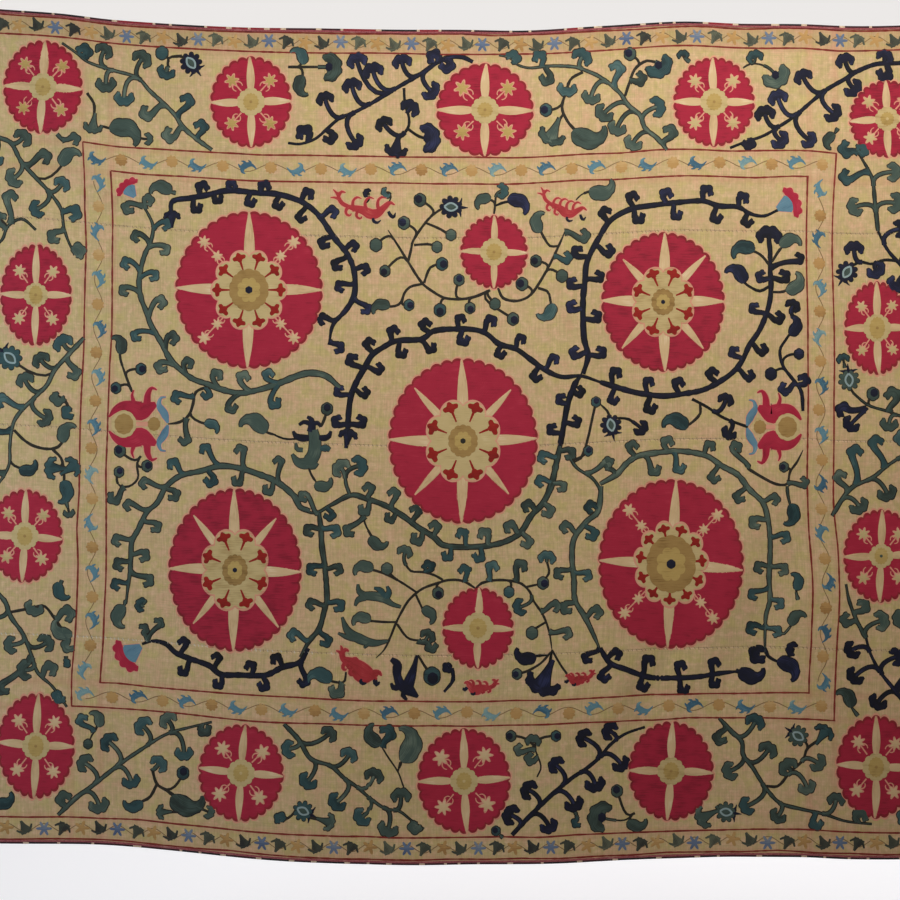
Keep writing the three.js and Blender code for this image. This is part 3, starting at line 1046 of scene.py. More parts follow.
def cap_leaf(sewing, head, facing, look, size, sweep=2.5, thick=1.0):
    """A wide two-sided leaf like a mushroom's cap, lobed outside, whose two tips curl back."""
    angle = math.atan2(facing[1], facing[0])
    t = np.linspace(0, 1, 10)
    stride = size * 0.66 / 9
    crown = head + facing * size * 0.14
    halves = []
    for side in (-1, 1):
        turns = side * sweep * drawn.uniform(0.9, 1.1) * np.diff(t**1.7)
        halves.append(growing(crown, angle + side * QUARTER, turns, stride))
    spine = np.concatenate([halves[0][::-1], halves[1][1:]])
    off = np.abs(np.linspace(-1, 1, len(spine)))
    body = size * (0.05 + 0.17 * (1 - off**1.6)) * thick
    lobes = size * 0.09 * np.abs(np.sin(2.5 * math.pi * off)) * (off < 0.9)
    radius = size * 0.66 / (sweep * np.maximum(1.7 * off**0.7, 0.05))
    leafy(sewing, spine, body + lobes, np.minimum(body, radius * 0.8), facing, look)


def berry(sewing, head, facing, look, size):
    """A round fruit in a dark outline, often dark blue with a paler green side."""
    reach = size * 0.29
    rim = scalloped(reach, reach * 1.08, 6, 0.4)
    tone = drawn.uniform(-0.15, 0.15)
    sewing.blob(head, rim * (1 + OUTLINE / reach), look[1], 0.1, 0.2, 1, tone, hidden=True)
    sewing.blob(head, rim, look[0], 0.34, 0.35, 2, tone)
    if drawn.random() < 0.7:
        top = rim * 0.68 + facing * reach * 0.28
        sewing.blob(head, top, "navy", 0.72, 0.2, 3, tone, hidden=True)


def bell(sewing, head, facing, look, size):
    """A flower seen from the side: a narrow tube that opens to a lobed mouth with two bent tips."""
    t = np.linspace(0, 1, 9)
    spine = head + (t[:, None] - 0.72) * facing * size
    width = size * (0.05 + 0.30 * t**1.7)
    outlined(sewing, spine, width, width, look)
    cap_leaf(sewing, head + facing * size * 0.06, facing, look, size * 0.95, 1.6, 0.6)


def drop_leaf(sewing, head, facing, look, size):
    """A leaf with a round belly whose point hooks over to one side."""
    side = drawn.choice([-1, 1])
    t = np.linspace(0, 1, 17)
    turns = side * 2.5 * np.diff(t**2.2)
    angle = math.atan2(facing[1], facing[0]) - side * 0.25
    spine = growing(head - facing * size * 0.44, angle, turns, size * 1.32 / 16)
    width = size * np.interp(t, [0, 0.1, 0.28, 0.48, 0.68, 0.85, 1],
                             [0.05, 0.19, 0.28, 0.25, 0.16, 0.10, 0.03])
    lobes = 0.05 * size * np.abs(np.sin(10 * t)) * (t < 0.75)
    radius = size * 1.32 / (2.5 * np.maximum(2.2 * t**1.2, 0.05))
    outward = crossing(facing) * -side
    leafy(sewing, spine, width + lobes, np.minimum(width, radius * 0.85), outward, look)


def fan(sewing, head, facing, look, size):
    """A large fan leaf: a blue-green cap with a dark blue heart."""
    cap_leaf(sewing, head, facing, look, size * 1.25, 2.1, 1.3)
    heart = scalloped(size * 0.20, size * 0.24, 6, 0.8)
    sewing.blob(head - facing * size * 0.05, heart, "navy", 0.76, 0.3, 3, hidden=True)


def fruit(sewing, head, facing, look, size):
    """A pomegranate: a round lobed fruit with a crown, and a pale seam like an eye."""
    reach = size * 0.54
    start = math.atan2(facing[1], facing[0])
    rim = scalloped(reach, reach, 9, 2.8, start=start)
    sewing.blob(head, rim * (1 + OUTLINE / reach), look[1], 0.08, 0.2, 1, hidden=True)
    sewing.blob(head, rim, "navy" if drawn.random() < 0.6 else look[0], 0.34, 0.4, 2)
    for lean in (-0.8, 0, 0.8):
        point = start + lean
        crown = growing(head + facing * reach * 0.6, point, np.full(5, lean * 0.16), reach * 0.2)
        width = size * np.linspace(0.13, 0.02, 6)
        sewing.strip(crown, width, width, "navy", 0.3, 0.3, 4)
    t = np.linspace(-1, 1, 11)
    aside = crossing(facing)
    long = head + t[:, None] * facing * reach * 0.56
    sewing.strip(long, reach * 0.3 * (1 - t**2), reach * 0.3 * (1 - t**2), "teal", 0.62, 0.3, 6)
    for way in (-1, 1):
        bow = way * (1 - t**2)[:, None] * aside * reach * 0.36
        seam = head + t[:, None] * facing * reach * 0.62 + bow
        sewing.strip(seam, 0.9, 0.9, "pale_blue", 0.9, 0.2, 3, across=RIDGE, hidden=True)


SILKS |= silks({
    "pale_blue": [(120, 140, 150), (150, 168, 172), (186, 194, 190)],
    "ink": [(4, 4, 5), (9, 8, 10), (24, 22, 22)],
})
# Each look is a vine's thread and its outline.
TEAL, NAVY = ("teal", "bark"), ("navy", "ink")
OUTLINE = 1.1
FLOWER_EDGE = 0.8
TWIG = 1.5
# A stem wider than this has an outline of its own, and so has a stalk to a head larger than this.
PLAIN_STEM, PLAIN_HEAD = 1.7, 14
HOOK_SHARE, CAP_SHARE = 0.82, 0.88
HEADS = {"caps": cap_leaf, "berries": berry, "bells": bell, "leaves": drop_leaf, "fans": fan,
         "fruits": fruit}


def hook(sewing, look, line, near, root, head, size, curl):
    """A hooked leaf on a vine. It curls towards the vine's tip, or back where `curl` is -1."""
    forward = unit(np.gradient(line, axis=0)[near])
    outward = head - line[near]
    reach = math.hypot(*outward)
    outward = unit(outward - forward * np.dot(outward, forward) + 1e-6)
    head = head - outward * size * 0.08
    start = head - curl * forward * size * 0.30
    leaving = unit(outward + forward * 0.8) * reach * 0.35
    stalk = bent(line[root], leaving, outward * reach * 0.3, start)
    hooked_leaf(sewing, stalk, head, curl * forward, outward, look, size)


def scroll(sewing, look, stem, twigs=(), size=20.0, stout=2.6, slim=1.5, back=0.35, curl=1,
           **heads):
    """One vine: its stem from the root, thin twigs, and its heads by kind, each given by place."""
    lines = []
    for order, points in enumerate([stem, *twigs]):
        line = soft_line(points)
        width = np.interp(np.linspace(0, 1, len(line)), [0, 0.06, 0.5, 0.85, 1],
                          [stout * 0.75, stout, (stout + slim) / 2, slim, slim * 0.4])
        if order:
            width = np.full(len(line), min(TWIG, slim))
        width = width * (1 + 0.08 * uneven(len(line)))
        if width.max() > PLAIN_STEM:
            body = np.maximum(width - 1.0, 0.3)
            outlined(sewing, line, body, body, look, 0.36, 0.4, 5)
        else:
            sewing.strip(line, width, width, look[1], 0.14, 0.42, 4, across=RIDGE)
        lines.append(line)
    for kind, places in heads.items():
        for place in places:
            head = np.array(place, float)
            gaps = [np.hypot(*(line - head).T) for line in lines]
            chosen = min(range(len(lines)), key=lambda k: gaps[k].min())
            line, near = lines[chosen], int(gaps[chosen].argmin())
            reach = gaps[chosen][near]
            run = np.gradient(line, axis=0)
            root = max(0, near - round(back * reach / max(np.hypot(*run[near]), 0.1)))
            grown = size * drawn.uniform(0.9, 1.1)
            shade = (drawn.choice(["teal", "teal", "petrol"]), "bark") if look is TEAL else look
            if kind == "hooks":
                hook(sewing, shade, line, near, root, head, grown * HOOK_SHARE, curl)
                continue
            forward = unit(run[near])
            facing = unit(unit(head - line[near]) - 0.30 * forward)
            stalk = bent(line[root], forward * reach * 0.5, facing * reach * 0.45, head)
            if kind in ("caps", "fans") and size > PLAIN_HEAD:
                width = np.linspace(1.9, 1.6, len(stalk)) * min(1, stout / 2)
                outlined(sewing, stalk, width - 0.3, width - 0.3, look, 0.3, 0.4, 5)
            else:
                sewing.strip(stalk, 1.35, 1.35, look[1], 0.14, 0.4, 4, across=RIDGE)
            grown *= CAP_SHARE if kind == "caps" else 1
            HEADS[kind](sewing, head, facing, shade, grown)


def stroke(sewing, points, widths, thread, layer, edge=None, flat=False, tone=None, stride=2.2):
    """A band along a soft line, as wide as `widths` say at even shares of it."""
    line = soft_line(points, stride)
    width = np.interp(np.linspace(0, 1, len(line)), np.linspace(0, 1, len(widths)), widths)
    tone = drawn.uniform(-0.1, 0.1) if tone is None else tone
    if edge:
        wide = width + FLOWER_EDGE
        sewing.strip(line, wide, wide, edge, 0.1, 0.1, 5, across=RIDGE, hidden=True)
    sewing.strip(line, width, width, thread, 0.22, 0.4, layer, tone, flat=flat)


def sew_vines(name, vines, plant=(), sprigs=()):
    """One piece: its vines, then a plant drawn stroke by stroke, then the sprigs beside that."""
    sewing = Stitching(name, reverse_vines)
    for look, stem, rest in vines:
        scroll(sewing, look, stem, **rest)
    for points, widths, thread, layer in plant:
        stroke(sewing, points, widths, thread, layer, "bark")
    for look, stem, rest in sprigs:
        scroll(sewing, look, stem, **rest)
    sewing.sew()


# The border's scrolls, cell by cell round the cloth. Each row is one vine: its look, its stem, and
# then its twigs, its sizes and its heads by kind.
sew_vines("scroll_top_1", [
    (TEAL, [(212, 150), (198, 140), (183, 127), (175, 115), (163, 103), (149, 90), (138, 78),
     (112, 70), (88, 62), (75, 52), (62, 43)],
     dict(twigs=[[(168, 68), (169, 58), (182, 56)], [(87, 93), (94, 104), (94, 118)]],
      caps=[(142, 59), (104, 51), (106, 84), (166, 72), (124, 98)], hooks=[(83, 52), (147, 112),
      (186, 101), (170, 134), (200, 127)], fruits=[(191, 63)], bells=[(93, 126)],
      berries=[(162, 53)])),
    (TEAL, [(102, 126), (108, 128)], dict(stout=1.0, leaves=[(123, 130)], size=29)),
    (TEAL, [(133, 134), (140, 138)], dict(size=13, caps=[(148, 139)])),
])

sew_vines("scroll_top_2", [
    (NAVY, [(473, 62), (462, 57), (450, 57), (438, 62), (425, 71), (412, 79), (400, 86), (385, 95),
     (372, 103), (355, 112), (340, 118), (328, 128), (315, 139), (300, 144), (288, 143)],
     dict(twigs=[[(404, 88), (405, 104), (409, 118), (408, 128), (400, 138), (397, 145)],
      [(408, 129), (418, 136), (424, 138)]], caps=[(325, 99), (352, 86), (373, 71), (402, 62),
      (355, 142), (384, 124), (410, 108), (431, 91), (357, 61)], hooks=[(329, 137), (304, 134),
      (434, 58), (446, 65)], bells=[(396, 149)], fans=[(428, 138)])),
    (TEAL, [(288, 67), (305, 67), (322, 67)],
     dict(slim=1.4, stout=1.6, fans=[(330, 67)], leaves=[(301, 57), (301, 84)], size=19)),
])

sew_vines("scroll_top_3", [
    (TEAL, [(667, 150), (657, 138), (645, 128), (640, 115), (629, 106), (619, 92), (600, 77),
     (587, 71), (575, 67), (549, 66), (530, 68), (518, 65), (510, 58), (499, 55)],
     dict(twigs=[[(625, 96), (629, 84), (635, 69), (646, 61), (655, 62)], [(583, 72), (571, 79),
      (566, 92), (562, 108), (568, 122), (575, 130)]], caps=[(582, 57), (567, 89), (591, 97),
      (604, 113), (617, 128), (633, 143), (657, 107)], hooks=[(546, 78), (539, 58), (616, 69),
      (639, 78), (669, 132), (512, 58)], berries=[(630, 54), (546, 110)], fans=[(659, 66)])),
    (TEAL, [(564, 113), (560, 119)], dict(stout=1.0, bells=[(552, 135)], size=27)),
    (TEAL, [(568, 122), (574, 129)], dict(stout=1.0, leaves=[(586, 136)], size=31)),
    (TEAL, [(690, 62), (684, 58)], dict(size=13, caps=[(683, 55)])),
])

sew_vines("scroll_top_4", [
    (NAVY, [(931, 58), (900, 63), (877, 64), (858, 71), (845, 79), (826, 90), (810, 103),
     (795, 116), (780, 126), (763, 136), (745, 142), (730, 148)],
     dict(caps=[(845, 61), (803, 77), (778, 98), (765, 114), (853, 88), (833, 113), (809, 140),
      (780, 140), (885, 57), (915, 58)], hooks=[(884, 73), (748, 143)])),
    (TEAL, [(743, 68), (750, 64), (758, 64), (768, 67)],
     dict(stout=1.1, slim=1.1, caps=[(755, 57)], fans=[(776, 76)], size=19)),
    (TEAL, [(838, 128), (835, 133)], dict(leaves=[(830, 139)], size=16)),
    (TEAL, [(935, 95), (932, 88)], dict(hooks=[(928, 80)], size=15)),
])

sew_vines("scroll_right_1", [
    (NAVY, [(925, 285), (912, 275), (900, 264), (887, 249), (878, 231)],
     dict(twigs=[[(903, 262), (885, 260), (872, 264), (860, 262), (852, 266)]], caps=[(854, 249),
      (899, 229), (876, 270), (897, 284), (926, 252), (928, 297)], fruits=[(847, 272)], size=20)),
    (TEAL, [(878, 231), (875, 203), (872, 178), (862, 159), (856, 149)],
     dict(twigs=[[(929, 215), (928, 190), (922, 172), (930, 160)]], caps=[(855, 207), (895, 203),
      (893, 172), (912, 196), (929, 153)], hooks=[(847, 176), (847, 148), (861, 150),
      (916, 220)])),
])

sew_vines("scroll_right_2", [
    (TEAL, [(925, 400), (905, 416), (887, 411), (868, 405), (853, 393)],
     dict(stout=1.6, caps=[(889, 424), (912, 396)], hooks=[(892, 396)], fruits=[(849, 380)],
      berries=[(873, 394)])),
    (TEAL, [(845, 368), (844, 363)], dict(caps=[(843, 359)], size=13)),
    (NAVY, [(868, 408), (861, 414)], dict(stout=1.6, caps=[(851, 424)], hooks=[(843, 411)])),
    (TEAL, [(832, 516), (845, 495), (854, 486), (872, 478), (887, 466), (900, 457), (915, 444),
     (926, 432)],
     dict(caps=[(887, 493), (859, 506), (915, 473), (928, 420)], hooks=[(877, 443), (856, 453),
      (841, 477), (903, 438)])),
    (TEAL, [(930, 350), (926, 365)], dict(leaves=[(923, 372)], size=20)),
])

sew_vines("scroll_right_3", [
    (NAVY, [(925, 725), (905, 703), (893, 688), (881, 673), (871, 655), (866, 638)],
     dict(caps=[(852, 650), (896, 657), (855, 676), (878, 702), (920, 690)], hooks=[(917, 660)])),
    (TEAL, [(866, 638), (856, 619), (849, 600), (846, 584)],
     dict(twigs=[[(922, 640), (916, 622), (921, 604)]], caps=[(881, 621), (900, 619), (922, 596)],
      hooks=[(847, 619), (862, 606)])),
    (TEAL, [(858, 716), (852, 708)], dict(leaves=[(848, 699)], size=20)),
])

sew_vines("scroll_bottom_4", [
    (TEAL, [(719, 718), (732, 732), (742, 742), (743, 755), (753, 768), (759, 778), (768, 791),
     (780, 803), (801, 809), (824, 814), (845, 821), (872, 824)],
     dict(twigs=[[(766, 786), (778, 786), (790, 772), (803, 760), (807, 749), (817, 741)]],
      caps=[(755, 722), (768, 750), (730, 771), (747, 806), (778, 816), (807, 787), (836, 800),
      (788, 767), (818, 763)], hooks=[(721, 738), (817, 823), (861, 817)], bells=[(824, 733)],
      fruits=[(798, 736)])),
    (TEAL, [(716, 806), (720, 810)], dict(fruits=[(726, 812)], bells=[(704, 817)], size=20)),
    (TEAL, [(927, 800), (922, 812), (908, 822)], dict(caps=[(925, 792)], hooks=[(905, 818)])),
])

sew_vines("scroll_bottom_3", [
    (NAVY, [(512, 835), (526, 820), (541, 805), (556, 791), (572, 778), (587, 768), (600, 757),
     (610, 745), (625, 734), (645, 727)],
     dict(caps=[(529, 790), (556, 765), (584, 738), (610, 731), (549, 826), (574, 804), (595, 784),
      (621, 764), (511, 815)])),
    (TEAL, [(575, 812), (578, 818)], dict(hooks=[(577, 823)], size=12)),
    (TEAL, [(635, 813), (625, 820), (612, 820)],
     dict(stout=0.9, slim=0.9, fans=[(601, 817)], leaves=[(635, 824)], berries=[(617, 791)])),
    (TEAL, [(537, 777), (541, 767), (536, 752), (533, 742)],
     dict(stout=0.9, slim=0.9, caps=[(533, 741)], hooks=[(520, 749), (531, 758)],
      berries=[(511, 736), (556, 736)], size=15)),
    (TEAL, [(503, 838), (499, 834)], dict(berries=[(496, 831)], size=15)),
])

sew_vines("scroll_bottom_2", [
    (TEAL, [(284, 724), (299, 740), (311, 759), (331, 766), (344, 778), (357, 787), (371, 799),
     (386, 809), (399, 811), (411, 820), (424, 829)],
     dict(caps=[(329, 734), (349, 755), (374, 776), (401, 796), (308, 781), (337, 802), (362, 817),
      (388, 829), (289, 749)], hooks=[(416, 827)])),
    (TEAL, [(404, 788), (398, 772), (388, 757), (380, 744)],
     dict(twigs=[[(398, 772), (400, 762)]], stout=0.9, slim=0.9, leaves=[(374, 738)],
      hooks=[(386, 733)], size=22)),
    (TEAL, [(399, 768), (401, 763)], dict(stout=1.0, leaves=[(408, 748)], size=34)),
    (TEAL, [(300, 803), (292, 815), (281, 822)],
     dict(stout=1.3, fruits=[(303, 811)], hooks=[(280, 819)], bells=[(328, 822)], size=17)),
])

sew_vines("scroll_bottom_1", [
    (TEAL, [(58, 815), (77, 797), (92, 786), (107, 774), (124, 761), (142, 749), (159, 738),
     (172, 732), (191, 727), (212, 722)],
     dict(twigs=[[(152, 768), (157, 784), (168, 791), (175, 796)], [(157, 784), (150, 797),
      (143, 801)]], caps=[(85, 763), (109, 742), (143, 726), (168, 720), (99, 805), (131, 781),
      (159, 764), (184, 753)], hooks=[(205, 729), (65, 799)], leaves=[(135, 805)],
      berries=[(183, 773)])),
    (TEAL, [(166, 790), (172, 795)], dict(stout=1.0, leaves=[(184, 803)], size=30)),
    (TEAL, [(196, 806), (204, 810)], dict(caps=[(209, 812)], bells=[(162, 812)], size=13)),
    (TEAL, [(88, 745), (92, 735), (97, 728)],
     dict(stout=0.9, slim=0.9, leaves=[(98, 720)], hooks=[(83, 720)], berries=[(88, 744)],
      size=16)),
])

sew_vines("scroll_left_1", [
    (TEAL, [(-22, 132), (0, 138), (11, 143), (21, 161), (38, 180), (50, 193), (61, 209), (64, 228),
     (71, 247), (79, 258)],
     dict(caps=[(23, 138), (62, 184), (14, 178), (37, 209), (-6, 158)], hooks=[(44, 158),
      (73, 214), (55, 237), (78, 252), (-12, 122)], leaves=[(67, 158)])),
    (TEAL, [(57, 134), (64, 142)], dict(hooks=[(74, 140)], size=17)),
    (TEAL, [(-8, 246), (2, 240), (8, 226), (22, 219), (36, 230)],
     dict(stout=1.6, hooks=[(11, 198), (1, 219)], leaves=[(-14, 214)], bells=[(-12, 252)])),
])

sew_vines("scroll_left_2", [
    (TEAL, [(84, 338), (69, 354), (54, 371), (47, 385), (34, 398), (21, 411), (13, 424), (10, 445),
     (9, 465), (-2, 484), (-18, 497)],
     dict(twigs=[[(14, 430), (24, 440), (34, 446), (48, 449), (58, 447), (63, 441)], [(52, 449),
      (61, 458), (64, 472), (64, 486)], [(58, 396), (66, 402), (69, 412)]], caps=[(63, 343),
      (41, 360), (25, 380), (45, 418)], hooks=[(73, 373), (59, 398), (2, 402), (69, 413),
      (-14, 470), (-8, 436)], fruits=[(10, 358)], leaves=[(65, 434), (27, 469), (65, 490)],
      bells=[(53, 468), (72, 467)])),
    (TEAL, [(66, 502), (68, 508)], dict(caps=[(69, 513)], size=12)),
    (NAVY, [(-20, 380), (-14, 392)], dict(leaves=[(-12, 396)], size=18)),
])

sew_vines("scroll_left_3", [
    (TEAL, [(-16, 584), (4, 600), (11, 617), (23, 634), (31, 654), (38, 673), (52, 686),
     (67, 707)],
     dict(twigs=[[(11, 612), (32, 608), (44, 606), (55, 619), (64, 632)]], caps=[(34, 608),
      (46, 643), (25, 670), (11, 645), (-8, 618)], hooks=[(50, 670), (67, 615), (60, 697),
      (4, 688), (69, 646)], leaves=[(63, 632)])),
    (TEAL, [(66, 656), (66, 660)], dict(hooks=[(66, 663)], size=11)),
    (TEAL, [(62, 580), (60, 586)], dict(leaves=[(60, 590)], size=18)),
    (TEAL, [(-18, 790), (-8, 800)], dict(leaves=[(3, 802)], size=18)),
])


# The field's wreaths, dark blue above and blue-green below, run round each large rosette.
sew_vines("wreath_upper_left", [
    (NAVY, [(172, 218), (172, 202), (191, 198), (207, 195), (224, 191), (239, 191), (258, 193),
     (277, 194), (300, 201), (311, 208), (321, 218), (329, 230), (336, 240), (346, 252),
     (352, 264), (355, 278), (354, 296), (346, 310), (333, 325), (329, 345)],
     dict(size=16, stout=2.9, slim=2.9, hooks=[(203, 188), (232, 186), (265, 187), (197, 207),
      (218, 198), (251, 201), (279, 204), (308, 195), (302, 217), (332, 213), (325, 243),
      (353, 247), (338, 265), (364, 270), (341, 287), (365, 309), (323, 320), (338, 348)],
      bells=[(172, 217)])),
    (TEAL, [(176, 193), (170, 192)], dict(leaves=[(163, 189)], size=22)),
    (TEAL, [(340, 388), (326, 376), (311, 373), (300, 375), (277, 384), (258, 390), (239, 393),
     (220, 389), (207, 384), (193, 379), (182, 371), (170, 359), (161, 342), (151, 325),
     (146, 311), (141, 298), (139, 281), (141, 268), (145, 254), (151, 241), (153, 226),
     (147, 212), (141, 203)],
     dict(size=16.5, stout=3.4, slim=2.6, curl=-1, hooks=[(172, 339), (188, 364), (217, 376),
      (244, 378), (269, 375), (137, 336), (162, 367), (232, 407), (275, 402), (165, 225),
      (164, 250), (137, 237), (127, 264), (125, 291), (153, 276), (160, 303), (129, 208),
      (148, 201)])),
    (TEAL, [(210, 386), (196, 392), (193, 404), (189, 415), (180, 422), (168, 424)],
     dict(stout=1.5, slim=1.5, size=16, hooks=[(206, 394), (178, 398), (184, 439)],
      leaves=[(211, 425)])),
    (TEAL, [(132, 392), (126, 376), (121, 362)],
     dict(stout=1.4, slim=1.2, size=18, leaves=[(120, 346)], berries=[(141, 369), (116, 388)])),
])

sew_vines("wreath_centre", [
    (NAVY, [(348, 440), (348, 422), (351, 396), (357, 381), (365, 367), (372, 355), (382, 348),
     (396, 341), (422, 339), (434, 331), (459, 329), (476, 330), (487, 334), (499, 344),
     (516, 349), (530, 359), (547, 371), (562, 377), (581, 376), (600, 382)],
     dict(size=16, stout=3.0, slim=2.7, hooks=[(370, 344), (394, 332), (426, 325), (461, 320),
      (491, 322), (521, 340), (554, 360), (378, 368), (402, 352), (431, 347), (464, 339),
      (501, 353), (537, 376), (353, 360), (340, 391), (364, 392), (338, 421), (360, 421)],
      bells=[(348, 436)])),
    (NAVY, [(560, 446), (564, 424), (568, 403), (575, 384), (582, 374)],
     dict(size=16, stout=2.9, slim=2.9, hooks=[(579, 391), (562, 399), (575, 421), (553, 429)])),
    (TEAL, [(560, 446), (556, 465), (551, 486), (543, 503), (531, 516), (520, 533), (501, 543),
     (472, 547), (443, 545), (434, 537), (419, 528), (403, 516), (384, 505), (367, 499),
     (352, 495), (331, 505), (315, 513), (300, 509)],
     dict(size=16.5, stout=3.3, slim=2.8, hooks=[(544, 458), (569, 454), (541, 482), (561, 487),
      (528, 507), (547, 511), (510, 528), (526, 542), (484, 535), (462, 535), (478, 556),
      (447, 555), (434, 527), (417, 538), (415, 511), (390, 517), (393, 494), (368, 489),
      (364, 509), (329, 515)])),
    (TEAL, [(350, 495), (346, 484), (345, 474)],
     dict(stout=2.0, slim=1.8, size=21, caps=[(341, 468), (359, 466)])),
    (TEAL, [(366, 512), (364, 520), (370, 534)],
     dict(stout=1.0, slim=1.0, size=18, hooks=[(350, 531)], leaves=[(376, 542)])),
    (TEAL, [(568, 455), (577, 468), (592, 478), (600, 490), (600, 502)],
     dict(stout=1.8, slim=1.8, size=15, berries=[(588, 451), (596, 402)], hooks=[(606, 466)])),
])

sew_vines("wreath_upper_right", [
    (NAVY, [(583, 374), (588, 356), (584, 338), (583, 300), (585, 281), (587, 262), (600, 236),
     (611, 220), (631, 209), (648, 206), (673, 203), (703, 201), (719, 206), (738, 207),
     (751, 214), (764, 216), (778, 210)],
     dict(size=16, stout=3.0, slim=2.7, hooks=[(606, 213), (633, 198), (667, 195), (707, 192),
      (743, 199), (639, 217), (677, 214), (717, 217), (748, 221), (608, 250), (578, 252),
      (598, 276), (573, 283), (573, 306), (595, 316), (576, 352), (600, 352)])),
    (NAVY, [(600, 382), (619, 388), (638, 393), (663, 396), (682, 394), (703, 390), (719, 382),
     (732, 373), (742, 361), (749, 346), (759, 331), (766, 315), (770, 300), (771, 283),
     (770, 268), (771, 249), (769, 236)],
     dict(twigs=[[(692, 399), (707, 407), (722, 417), (734, 422), (748, 427)]], size=16, stout=3.0,
      slim=2.6, hooks=[(616, 374), (649, 383), (679, 384), (713, 374), (614, 399), (651, 407),
      (735, 352), (749, 375), (762, 349), (755, 308), (778, 317), (762, 276), (783, 276),
      (798, 258)], caps=[(729, 433), (726, 400)])),
    (NAVY, [(770, 262), (770, 250), (769, 243)],
     dict(stout=2.4, slim=2.4, caps=[(769, 236)], size=25)),
    (TEAL, [(770, 266), (762, 256), (756, 252)], dict(stout=1.5, leaves=[(745, 249)], size=23)),
    (TEAL, [(772, 262), (778, 252), (783, 246)], dict(stout=1.5, leaves=[(788, 242)], size=22)),
    (NAVY, [(771, 285), (760, 291), (748, 286)], dict(stout=1.5, leaves=[(739, 275)], size=24)),
    (TEAL, [(772, 292), (782, 292), (787, 290)], dict(stout=1.5, leaves=[(794, 286)], size=21)),
    (NAVY, [(803, 411), (801, 391), (791, 377), (783, 366), (780, 350), (787, 338)],
     dict(stout=1.9, slim=1.5, size=17, berries=[(799, 354), (771, 374)], hooks=[(785, 388),
      (803, 380)], leaves=[(794, 328)])),
    (NAVY, [(793, 318), (791, 312)], dict(caps=[(793, 306)], size=15)),
    (TEAL, [(700, 404), (700, 414), (688, 426)], dict(stout=1.4, leaves=[(678, 423)], size=24)),
    (TEAL, [(600, 404), (608, 412), (610, 420)], dict(stout=1.0, fruits=[(611, 425)], size=17)),
    (NAVY, [(616, 418), (628, 419), (636, 424)], dict(stout=1.3, caps=[(641, 428)], size=17)),
])

sew_vines("wreath_lower_left", [
    (TEAL, [(310, 511), (300, 507), (295, 497), (277, 482), (258, 474), (239, 468), (220, 466),
     (201, 471), (180, 476), (166, 487), (157, 503), (147, 512), (138, 530), (132, 541),
     (131, 556), (130, 572), (128, 587), (126, 604)],
     dict(size=16.5, stout=3.3, slim=2.7, hooks=[(173, 465), (205, 450), (240, 451), (278, 462),
      (210, 480), (237, 480), (268, 489), (145, 484), (173, 495), (129, 506), (155, 527),
      (118, 541), (143, 556), (120, 565), (147, 581), (117, 585)])),
    (TEAL, [(319, 513), (321, 530), (322, 547), (325, 568), (327, 600), (325, 608), (319, 629),
     (310, 640), (300, 657)],
     dict(size=16.5, stout=3.0, slim=2.9, hooks=[(304, 497), (310, 531), (334, 532), (313, 570),
      (337, 570), (312, 605), (338, 606), (325, 641), (294, 636)])),
    (NAVY, [(308, 648), (300, 662), (283, 667), (266, 675), (239, 675), (220, 674), (210, 666),
     (191, 659), (176, 653), (166, 644), (153, 641), (142, 644)],
     dict(size=16, stout=3.0, slim=2.7, hooks=[(183, 643), (183, 670), (216, 658), (218, 683),
      (250, 667), (263, 685), (276, 660), (303, 681)])),
    (TEAL, [(126, 600), (124, 606)], dict(leaves=[(120, 614)], size=24)),
    (TEAL, [(148, 642), (144, 634)], dict(hooks=[(143, 629), (158, 623)], size=15)),
    (TEAL, [(146, 600), (143, 605)], dict(caps=[(141, 605)], size=15)),
    (TEAL, [(141, 456), (137, 464), (138, 478), (130, 486), (120, 486), (116, 480)],
     dict(stout=1.2, slim=1.2, size=17, berries=[(120, 451), (147, 466), (119, 472)],
      hooks=[(114, 497)])),
])

